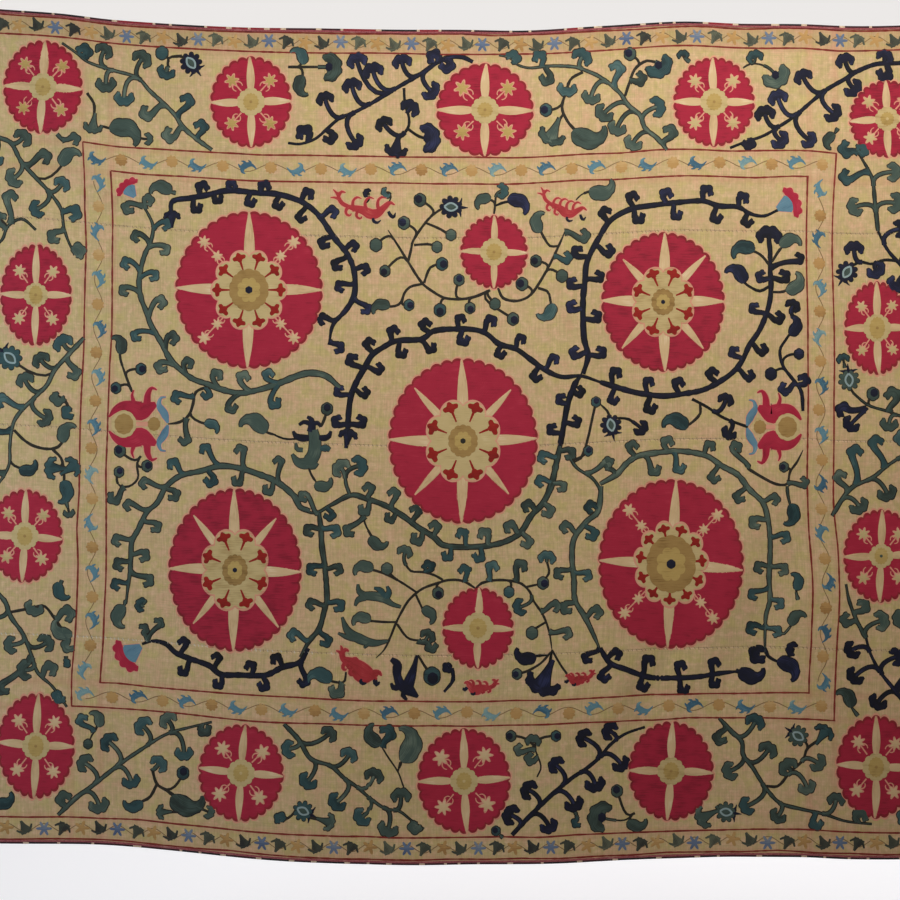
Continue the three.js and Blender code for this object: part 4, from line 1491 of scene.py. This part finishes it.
sew_vines("wreath_lower_right", [
    (TEAL, [(600, 484), (617, 474), (627, 463), (638, 456), (655, 453), (675, 451), (696, 453),
     (709, 457), (722, 466), (738, 475), (749, 489), (763, 503), (768, 520), (770, 537),
     (770, 558), (769, 577), (770, 600), (766, 615), (765, 634), (765, 652)],
     dict(size=16.5, stout=3.2, slim=2.7, hooks=[(609, 463), (633, 447), (668, 443), (710, 447),
      (655, 469), (680, 467), (715, 477), (740, 497), (774, 500), (756, 523), (784, 538),
      (760, 568), (782, 570), (754, 595), (778, 604), (753, 629), (776, 632)])),
    (TEAL, [(601, 486), (600, 501), (597, 513), (587, 521), (574, 539), (572, 558), (574, 580),
     (575, 600), (585, 617), (595, 638), (600, 650)],
     dict(size=16.5, stout=3.1, slim=2.9, hooks=[(566, 528), (591, 534), (560, 574), (586, 576),
      (591, 508), (567, 608), (596, 613)])),
    (NAVY, [(600, 648), (610, 663), (625, 669), (648, 677), (671, 678), (696, 677), (722, 673),
     (741, 671)],
     dict(size=16, stout=2.9, slim=2.5, hooks=[(588, 658), (616, 655), (649, 662), (681, 667),
      (715, 664), (605, 676), (644, 685), (684, 688), (715, 682)])),
    (NAVY, [(736, 671), (741, 671)], dict(leaves=[(749, 674)], size=24)),
    (TEAL, [(747, 468), (760, 476), (776, 484), (787, 484), (790, 472), (797, 462), (803, 450)],
     dict(stout=1.6, slim=1.2, size=16, hooks=[(736, 448), (803, 482)], berries=[(784, 467)])),
    (TEAL, [(787, 486), (788, 496), (790, 504)], dict(stout=1.8, leaves=[(792, 513)], size=22)),
    (TEAL, [(798, 600), (796, 592)], dict(leaves=[(797, 583)], size=18)),
    (TEAL, [(770, 628), (783, 634), (790, 627)], dict(stout=1.6, leaves=[(795, 619)], size=16)),
    (NAVY, [(765, 648), (768, 656), (776, 661)],
     dict(stout=2.0, hooks=[(759, 655)], leaves=[(787, 666)], size=24)),
    (NAVY, [(790, 655), (794, 648)], dict(caps=[(792, 649)], size=14)),
])


# The field's sprays. Thin-stemmed berry branches round the upper small rosette, leafy branches
# round the lower one, and single plants that fill the gaps between the wreaths.

# The dark crowned plant between the wreaths: places of its strokes, half widths, thread, layer.
PITCHER = [
    ([(313, 430), (315, 442), (314, 454), (307, 463), (298, 462), (292, 454)],
     [4.4, 5.6, 6.2, 6.4, 4.2, 0.8], "teal", 1),
    ([(303, 450), (297, 449), (296, 443)], [1.6, 1.8, 0.6], "teal", 0),
    ([(320, 449), (326, 448), (330, 450)], [1.6, 3.4, 1.6], "petrol", 0),
    ([(306, 466), (314, 467), (318, 463)], [1.6, 2.2, 0.8], "teal", 0),
    ([(311, 432), (312, 426), (311, 419), (307, 417)], [3.6, 3.2, 2.2, 0.8], "navy", 3),
    ([(311, 424), (304, 422), (299, 425)], [1.8, 1.6, 0.8], "navy", 2),
    ([(312, 424), (318, 423), (321, 427)], [1.8, 1.6, 0.8], "navy", 2),
    ([(309, 438), (302, 438), (296, 436), (293, 431)], [2.4, 3.2, 2.4, 0.6], "navy", 4),
    ([(319, 438), (325, 438), (329, 436), (331, 431)], [2.2, 2.6, 2.0, 0.6], "navy", 4),
]

# The horned leaves beside the lower small rosette, and the dark forked plant under them.
HORNS = [
    ([(388, 641), (374, 643), (360, 639), (348, 631), (342, 617)],
     [1.0, 3.2, 4.6, 3.4, 0.6], "teal", 1),
    ([(358, 639), (347, 637), (338, 633)], [3.0, 2.2, 0.6], "teal", 0),
    ([(370, 642), (364, 648)], [2.4, 0.6], "teal", 0),
    ([(401, 607), (392, 604), (383, 598), (372, 596), (362, 596)],
     [1.0, 2.0, 4.2, 4.2, 3.4], "teal", 1),
    ([(365, 596), (359, 591), (358, 584)], [3.2, 2.4, 0.6], "teal", 0),
    ([(365, 597), (358, 600), (355, 606)], [3.2, 2.4, 0.6], "teal", 2),
    ([(384, 598), (380, 590), (374, 588)], [3.4, 2.8, 0.6], "petrol", 0),
    ([(385, 599), (389, 592), (387, 586)], [3.4, 2.6, 0.6], "petrol", 2),
    ([(417, 655), (415, 664), (412, 674), (408, 685)], [0.9, 2.0, 4.0, 5.4], "navy", 1),
    ([(391, 659), (397, 664), (397, 674), (401, 685), (409, 690), (418, 697)],
     [1.6, 4.2, 3.4, 4.6, 5.0, 0.8], "navy", 2),
    ([(402, 684), (394, 688), (391, 683)], [3.4, 2.6, 0.6], "navy", 3),
    ([(408, 689), (403, 695), (407, 700)], [3.0, 2.2, 0.6], "navy", 4),
]


sew_vines("spray_upper", [
    (TEAL, [(490, 290), (477, 296), (463, 299), (445, 298), (432, 291), (422, 283), (407, 260),
     (397, 244), (388, 230)],
     dict(twigs=[[(408, 262), (411, 250), (413, 241), (426, 222), (434, 214), (443, 208)],
      [(422, 284), (410, 287), (404, 294), (402, 302)], [(426, 223), (440, 229), (448, 234)],
      [(414, 245), (428, 244)], [(424, 283), (430, 268), (438, 264)]], stout=1.5, slim=1.3,
      size=18, back=0.2, berries=[(420, 200), (404, 223), (451, 235), (437, 247), (442, 264),
      (459, 280), (376, 245), (385, 271), (409, 305), (440, 310), (470, 308), (495, 304),
      (513, 319)], fruits=[(451, 207)], leaves=[(382, 306)])),
    (TEAL, [(498, 288), (503, 298), (516, 301), (528, 297), (536, 288), (549, 266), (560, 243),
     (566, 229)],
     dict(twigs=[[(538, 288), (548, 292), (551, 304)], [(558, 246), (550, 246), (543, 236)]],
      stout=1.5, slim=1.3, size=18, back=0.2, berries=[(522, 284), (536, 261), (562, 276)],
      hooks=[(566, 257), (583, 235)], leaves=[(538, 224), (549, 311)])),
    (NAVY, [(366, 203), (369, 200), (369, 195)],
     dict(stout=0.9, slim=0.8, size=9, caps=[(367, 193)])),
    (TEAL, [(389, 202), (391, 197), (390, 192)],
     dict(stout=0.9, slim=0.8, size=11, caps=[(386, 193)])),
    (TEAL, [(576, 200), (581, 195), (587, 192)],
     dict(stout=0.8, slim=0.8, size=25, leaves=[(600, 191)])),
    (TEAL, [(494, 214), (495, 206), (496, 193)],
     dict(stout=1.1, slim=1.0, size=17, leaves=[(484, 200)], caps=[(502, 191)])),
    (NAVY, [(495, 206), (504, 202)], dict(stout=1.0, leaves=[(517, 202)], size=22)),
])

sew_vines("spray_lower", [
    (TEAL, [(475, 588), (463, 581), (449, 580), (438, 583), (422, 589), (409, 600), (401, 613),
     (396, 623), (390, 638), (384, 650), (376, 658)],
     dict(twigs=[[(443, 580), (434, 575), (422, 572), (411, 571), (404, 562)], [(416, 592),
      (404, 584), (394, 578)], [(396, 622), (384, 622), (372, 621)], [(397, 624), (408, 638),
      (422, 641)], [(416, 595), (422, 608)]], stout=1.4, slim=1.2, size=17.5, back=0.2,
      hooks=[(428, 567), (464, 571), (432, 646)], caps=[(405, 552), (428, 636)],
      berries=[(438, 593), (387, 569)], leaves=[(365, 568), (363, 619), (428, 613)])),
    (TEAL, [(476, 588), (482, 583), (499, 580), (520, 583), (530, 592), (533, 600), (543, 615),
     (549, 631), (552, 650)],
     dict(twigs=[[(526, 587), (540, 584)], [(541, 583), (549, 573), (547, 562)], [(546, 622),
      (536, 628)], [(551, 652), (541, 663), (530, 670)], [(552, 650), (560, 664), (567, 674)]],
      stout=1.4, slim=1.2, size=17.5, back=0.2, hooks=[(493, 568), (521, 567), (555, 607),
      (566, 634)], caps=[(547, 558), (520, 607)], berries=[(509, 592), (543, 583), (532, 633),
      (517, 674)])),
    (NAVY, [(552, 650), (550, 662)], dict(stout=1.0, bells=[(543, 682)], size=31)),
    (NAVY, [(549, 655), (536, 656)], dict(stout=0.9, leaves=[(527, 657)], size=21)),
], HORNS, [
    (TEAL, [(418, 655), (426, 668), (430, 672)], dict(stout=1.1, berries=[(432, 676)], size=26)),
    (NAVY, [(452, 668), (453, 680), (444, 692)],
     dict(stout=2.4, slim=1.4, size=14, hooks=[(448, 668)])),
    (TEAL, [(346, 672), (344, 682), (334, 682)],
     dict(stout=1.2, leaves=[(322, 677)], hooks=[(336, 690)], size=22)),
])

sew_vines("spray_between", [
    (TEAL, [(321, 427), (324, 420), (326, 414)], dict(stout=1.4, berries=[(327, 409)], size=17)),
    (TEAL, [(308, 466), (312, 476), (317, 483)],
     dict(stout=1.2, slim=1.2, leaves=[(322, 485)], size=17)),
    (NAVY, [(303, 438), (286, 439), (272, 434)], dict(stout=1.1, slim=1.0)),
    (TEAL, [(276, 435), (268, 433)], dict(stout=1.0, leaves=[(257, 425)], size=27)),
], PITCHER)


# The single flowers. Two large tulips at the sides of the field, three carnations in its corners,
# and small red beast-like flowers with curling plumes beside the small rosettes.
def laid_along(foot, ahead, aside, points):
    """Points given as distances ahead of a flower's foot and out to one side, as places."""
    beyond, out = np.array(points, float).T
    return np.asarray(foot, float) + np.outer(beyond, ahead) + np.outer(out, aside)


def tulip(sewing, foot, way):
    """A crimson flower with pale blue sepals. `way` is its scale, below zero to open leftwards."""
    for side in (-1, 1):
        parts = [
            ("sky", [(0, 1), (4, 11), (9, 19), (7, 26), (2, 27)], [1.2, 4.0, 3.6, 1.8, 0.7], 1),
            ("crimson", [(12, 20), (20, 16), (27, 13), (36, 16.5), (46, 18), (54, 13), (59, 7)],
             [2.4, 6.6, 10.0, 6.8, 4.4, 3.0, 0.8], 2),
            ("crimson", [(21, 20), (20, 30), (16, 36), (11, 34)], [3.8, 3.2, 2.0, 0.6], 0),
            ("crimson", [(34, 21), (36, 29), (34, 34)], [2.4, 1.5, 0.5], 0),
        ]
        for thread, points, widths, layer in parts:
            places = laid_along(foot, (way, 0), (0, side), points)
            stroke(sewing, places, widths, thread, layer, "pink")
    bar = laid_along(foot, (way, 0), (0, 1), [(10, 0), (20, 0), (30, 0), (36, 0)])
    sewing.strip(bar, 2.4, 2.4, "pink", 0.5, 0.2, 3, across=RIDGE, hidden=True)
    for beyond, reach, thread, lift, layer in (
        (14, 6.4, "ochre", 0.66, 4), (44, 12.5, "cream", 0.66, 4), (44, 9.6, "ochre", 0.86, 6),
    ):
        at = np.array(foot, float) + (way * beyond, 0)
        sewing.blob(at, scalloped(reach, reach * 1.1, 10, 0.6), thread, lift, 0.2, layer)


def carnation(sewing, root, facing, size):
    """A fan of crimson petals with a notched edge, on a pale blue base."""
    root, facing = np.array(root, float), unit(np.array(facing, float))
    aside = crossing(facing)
    t = np.linspace(0, 1, 8)
    base = root + t[:, None] * facing * size * 0.74
    width = size * (0.10 + 0.42 * t)
    wide = width + FLOWER_EDGE
    sewing.strip(base, wide, wide, "pink", 0.04, 0.1, 5, across=RIDGE, hidden=True)
    sewing.strip(base, width, width, "sky", 0.2, 0.3, 0)
    turn = np.linspace(-0.85, 0.85, 57)
    arc = root + size * 0.84 * (np.cos(turn)[:, None] * facing + np.sin(turn)[:, None] * aside)
    narrowing = np.interp(np.abs(turn), [0, 0.6, 0.85], [1, 1, 0.45])
    outer = size * narrowing * (0.13 + 0.09 * np.abs(np.sin(9 * turn)))
    inner = size * narrowing * 0.17
    sewing.strip(arc, outer + 0.9, inner + 0.9, "pink", 0.3, 0.2, 1, hidden=True)
    sewing.strip(arc, outer, inner, "crimson", 0.44, 0.35, 2, 0.1)


# A plumed flower's strokes, for a body 100 long from tail to head: how far ahead and how far up
# each goes, and its half widths.
BEAST_BODY = ([(2, 2), (20, -3), (38, -8), (54, -16), (68, -14), (82, -2), (94, 7), (104, 2)],
              [2.4, 5.0, 6.5, 8.5, 8.0, 5.5, 4.0, 0.8])
BEAST_TAIL = ([(6, 1), (-6, 8), (-13, 20), (-14, 32)], [3.4, 3.4, 3.4, 0.8])
BEAST_PRONGS = [
    ([(-12, 16), (-20, 20), (-30, 20)], [2.6, 1.8, 0.6]),
    ([(-14, 24), (-19, 32), (-24, 37)], [2.4, 1.8, 0.6]),
    ([(-13, 22), (-7, 32), (2, 30)], [2.6, 2.4, 0.8]),
]
BEAST_PLUME = ([(2, -6), (-2, 6), (0, 17), (8, 23), (17, 20)], [3.6, 2.8, 2.2, 1.8, 0.6])
BEAST_CURL = ([(4, 2), (-2, -6), (-1, -14), (6, -17), (9, -12)], [3.2, 2.6, 2.2, 1.8, 0.6])
BEAST_LEGS = [
    ([(58, -24), (59, -31), (67, -34), (74, -29)], [2.4, 2.8, 2.2, 0.8]),
    ([(90, -11), (95, -20), (101, -23), (105, -14)], [2.4, 3.2, 2.8, 0.8]),
]


def plumed_flower(sewing, tail, head, plumes, fullness):
    """A small red flower drawn like a running beast: a bent body, a forked tail, curling plumes."""
    tail, head = np.array(tail, float), np.array(head, float)
    ahead = (head - tail) / 100
    upward = np.array([ahead[1], -ahead[0]]) * (1 if ahead[0] > 0 else -1)
    long = math.hypot(*ahead) * 100
    stout = fullness * (long + 12) / 100

    def draw(drawing, thread, layer, along=0, up=0):
        points = laid_along(tail + along * ahead + up * upward, ahead, upward, drawing[0])
        edge = "pink" if thread == "beast_red" else None
        stroke(sewing, points, np.array(drawing[1]) * stout, thread, layer, edge, stride=1.6)

    draw(BEAST_BODY, "beast_red", 1)
    draw(BEAST_TAIL, "beast_red", 2)
    for prong in BEAST_PRONGS:
        draw(prong, "beast_red", 3)
    for along in np.linspace(18, 70, plumes):
        draw(BEAST_PLUME, "beast_red", 2, along, drawn.uniform(-2, 3) - 6 * math.sin(along / 32))
    for along in (4, 26):
        draw(BEAST_CURL, "beast_red", 3, along, -along * 0.3)
    for leg in BEAST_LEGS:
        draw(leg, "navy", 4)


SILKS |= silks({
    "sky": [(66, 100, 124), (98, 134, 156), (136, 164, 176)],
    "beast_red": [(142, 36, 34), (176, 48, 56), (204, 92, 86)],
})


# Each plumed flower: the places of its tail and its head, its plumes, and how stout it is.
PLUMED = [
    ((345, 207), (393, 206), 3, 1.0),
    ((547, 203), (585, 211), 4, 1.0),
    ((344, 662), (380, 676), 1, 1.7),
    ((491, 688), (465, 684), 3, 1.6),
    ((589, 678), (566, 677), 3, 1.6),
]
# The stout back of the lower left one.
PLUMED_BACK = [(342, 658), (350, 661), (359, 665), (368, 671), (376, 680)]
# Each carnation: its root, the way it faces and its size.
CARNATIONS = [
    ((135, 197), (-0.6, -0.75), 19),
    ((777, 209), (0.9, -0.42), 24),
    ((141, 646), (-0.8, 0.55), 27),
]


for name, foot, way in (("tulip_left", (168, 424), -1), ("tulip_right", (747, 427), 0.92)):
    flowers = Stitching(name, reverse_vines)
    tulip(flowers, foot, way)
    flowers.sew()
flowers = Stitching("carnations", reverse_vines)
for row in CARNATIONS:
    carnation(flowers, *row)
flowers.sew()
flowers = Stitching("plumed_flowers", reverse_vines)
for row in PLUMED:
    plumed_flower(flowers, *row)
stroke(flowers, PLUMED_BACK, [1.6, 4.4, 5.2, 4.6, 2.0], "beast_red", 0, "pink")
flowers.sew()


# The guard bands. The outer one, along the rim, has a thin brown vine with dark bell-shaped leaves,
# violet-blue stars and ochre flowers. The inner one, round the field, has small blue flowers with
# curling tails between round ochre ones.
SILKS |= silks({
    "star_blue": [(74, 88, 124), (104, 118, 146), (144, 148, 156)],
    "guard_blue": [(62, 98, 122), (94, 134, 152), (140, 166, 164)],
    "guard_ochre": [(164, 120, 70), (190, 146, 90), (208, 170, 118)],
    "moss": [(46, 44, 42), (68, 70, 60), (104, 106, 88)],
    "guard_vine": [(112, 82, 54), (138, 106, 70), (158, 130, 92)],
})
OUTER_PITCH, INNER_PITCH = 18.0, 25.0
STAR_REACH = 7.4


def star(sewing, at, reach, petals, thread):
    angle = turning(petals * 8, drawn.uniform(0, 1))
    spread = reach * np.maximum(0.42, 0.72 + 0.34 * np.cos(petals * angle))
    tone = drawn.uniform(-0.2, 0.2)
    sewing.blob(at, around(angle, spread), thread, 0.2, 0.35, 1, tone, flat=True)


def bell_leaf(sewing, at, facing, size, thread):
    """A small leaf like a bell: a narrow neck, and a mouth with two bent tips."""
    t = np.linspace(0, 1, 7)
    aside = crossing(facing)
    spine = at + (t[:, None] - 0.6) * facing * size
    width = size * np.interp(t, [0, 0.3, 0.7, 1], [0.08, 0.16, 0.38, 0.42])
    tone = drawn.uniform(-0.3, 0.3)
    sewing.strip(spine, width, width, thread, 0.2, 0.35, 1, tone, flat=True, across=RIDGE)
    for side in (-1, 1):
        tip = at + facing * size * 0.30 + side * aside * size * np.linspace(0.05, 0.60, 5)[:, None]
        tip = tip - facing * size * np.linspace(0, 0.62, 5)[:, None] ** 2
        narrow = size * np.linspace(0.16, 0.06, 5)
        sewing.strip(tip, narrow, narrow, thread, 0.2, 0.35, 1, tone, flat=True, across=RIDGE)


# The blue flower's strokes: how far ahead and how far up each goes, and its half widths.
BIRD = [
    ([(-10, -1), (-6, 3), (-1, 3.5), (4, 0.5), (4.5, -4), (1.5, -5.5)],
     [0.4, 1.2, 2.6, 3.3, 2.0, 0.5]),
    ([(-3, 3), (-4, 6), (-1.5, 8)], [1.5, 1.2, 0.4]),
    ([(1, 3), (2.5, 6.5), (5.5, 7)], [1.7, 1.4, 0.4]),
    ([(4, 1), (7, 1.5), (8.5, 4)], [1.6, 1.3, 0.4]),
]


def bird_flower(sewing, at, ahead, aside, thread):
    """A small blue flower like a bird: a body that curls round, a long tail and three lobes."""
    up = aside * drawn.choice([-1, 1])
    way = ahead * drawn.choice([-1, 1], p=[0.8, 0.2])
    tone = drawn.uniform(-0.35, 0.35)
    for points, widths in BIRD:
        places = laid_along(at, way, up, points)
        stroke(sewing, places, widths, thread, 1, flat=True, tone=tone, stride=1.8)


def guard_side(name, start, end, pitch, bloom):
    """One side of a guard band: a waving vine with a flower at every pitch."""
    sewing = Stitching(name, reverse_bands)
    start, end = np.array(start, float), np.array(end, float)
    ahead = unit(end - start)
    aside = crossing(ahead)
    count = round(math.hypot(*(end - start)) / pitch)
    places = np.linspace(0, 1, count + 1)
    fine = np.linspace(0, count, count * 7 + 1)
    wave = np.sin(math.pi * (fine + 0.5)) * 4.2
    vine = start + (fine / count)[:, None] * (end - start) + wave[:, None] * aside
    sewing.strip(vine, 0.42, 0.42, "guard_vine", 0.08, 0.3, 0, flat=True, across=RIDGE)
    for order, share in enumerate(places):
        at = start + share * (end - start) + drawn.normal(0, 0.7, 2)
        bloom(sewing, order, at, ahead, aside)
    sewing.sew()


def outer_bloom(sewing, order, at, ahead, aside):
    kind = order % 4
    if kind == 1:
        star(sewing, at, STAR_REACH, 6, "star_blue")
    elif kind == 3:
        star(sewing, at, STAR_REACH, 5, "guard_ochre")
    else:
        way = 1 if kind == 0 else -1
        bell_leaf(sewing, at, unit(way * aside + 0.5 * ahead), 13.5, "moss")


def inner_bloom(sewing, order, at, ahead, aside):
    if order % 2:
        sewing.blob(at, scalloped(6.4, 6.4, 9, 1.5), "guard_ochre", 0.2, 0.3, 1,
                    drawn.uniform(-0.2, 0.2), flat=True)
    else:
        bird_flower(sewing, at, ahead, aside, "guard_blue")


OUTER = (-36, 42.3, 946.5, 849.5)
INNER = (93.5, 169.5, 821.5, 714.5)
for band, (left, top, right, bottom), pitch, bloom in (
    ("outer_guard", OUTER, OUTER_PITCH, outer_bloom),
    ("inner_guard", INNER, INNER_PITCH, inner_bloom),
):
    guard_side(f"{band}_top", (left, top), (right, top), pitch, bloom)
    guard_side(f"{band}_bottom", (left, bottom), (right, bottom), pitch, bloom)
    guard_side(f"{band}_left", (left, top + pitch), (left, bottom - pitch), pitch, bloom)
    guard_side(f"{band}_right", (right, top + pitch), (right, bottom - pitch), pitch, bloom)


# The wrong side. The threads pass through the cotton, so the pattern shows again behind it, flatter
# and plainer than on the face.
for wrong_side in (reverse_rosettes, reverse_vines, reverse_bands):
    wrong_side.sew(reverse=True)


# The room it is shown in: a plain pale floor below the hem, and a camera square to the cloth. Soft
# light falls from above in front, cooler from the left, and evenly on the back.
FLOOR_DROP = 0.40
FLOOR_SIZE = 12.0


def pale_floor():
    material, tree, shader, start = finish("pale_floor", 0.9)
    shader.inputs["Base Color"].default_value = dye(222, 222, 226)
    seen = start.node("ShaderNodeLightPath", {}, {}, output=0)
    glow = start.blend(seen, dye(0, 0, 0), dye(186, 185, 187))
    tree.links.new(glow.socket, shader.inputs["Emission Color"])
    shader.inputs["Emission Strength"].default_value = 1.0
    mesh = bpy.data.meshes.new("floor")
    half = FLOOR_SIZE / 2
    corners = [(-half, -half), (half, -half), (half, half), (-half, half)]
    level = CAD_BOX[0].z - FLOOR_DROP
    mesh.from_pydata([(x, y, level) for x, y in corners], [], [(0, 1, 2, 3)])
    mesh.materials.append(material)
    floor = bpy.data.objects.new("floor", mesh)
    bpy.context.scene.collection.objects.link(floor)


def area_light(name, place, aim, width, height, power, colour):
    lamp = bpy.data.lights.new(name, "AREA")
    lamp.shape = "RECTANGLE"
    lamp.size, lamp.size_y = width, height
    lamp.energy = power
    lamp.color = colour
    light = bpy.data.objects.new(name, lamp)
    light.location = place
    direction = np.array(aim) - np.array(place)
    light.rotation_euler = (
        math.atan2(math.hypot(direction[0], direction[1]), -direction[2]),
        0,
        math.atan2(direction[1], direction[0]) - math.pi / 2,
    )
    light.visible_camera = False
    bpy.context.scene.collection.objects.link(light)


def surroundings():
    """Even light from all round. The camera sees it as a plain pale background."""
    world = bpy.data.worlds.new("pale_room")
    bpy.context.scene.world = world
    world.use_nodes = True
    tree = world.node_tree
    start = Shade(tree)
    seen = start.node("ShaderNodeLightPath", {}, {}, output=0)
    colour = start.blend(seen, dye(56, 51, 47), dye(236, 233, 231))
    background = tree.nodes["Background"]
    tree.links.new(colour.socket, background.inputs["Color"])
    background.inputs["Strength"].default_value = 1.0


def camera():
    lens = bpy.data.cameras.new("camera")
    lens.sensor_width = 36
    lens.lens = FOCUS / (2 * PICTURE_CENTRE * STEP) * lens.sensor_width
    view = bpy.data.objects.new("camera", lens)
    view.location = EYE
    view.rotation_euler = (math.pi / 2, 0, 0)
    bpy.context.scene.collection.objects.link(view)
    bpy.context.scene.camera = view


pale_floor()
area_light("overhead", (0.45, -1.25, 0.32), (0.2, 0, -0.9), 2.4, 0.6, 29, (1.0, 0.985, 0.88))
area_light("window", (-1.95, -1.05, -0.75), (-1.05, 0, -0.78), 0.8, 1.3, 13.5, (0.72, 0.90, 1.0))
area_light("floor_glow", (0, 1.6, -0.9), (0, 1.75, -3), 5.0, 2.2, 14, (0.98, 0.99, 1.0))
area_light("behind", (1.2, 3.2, 0.5), (0, 0, -0.9), 2.5, 2.0, 60, (1.0, 0.99, 0.97))
surroundings()
camera()
bpy.context.scene.view_settings.view_transform = "Standard"
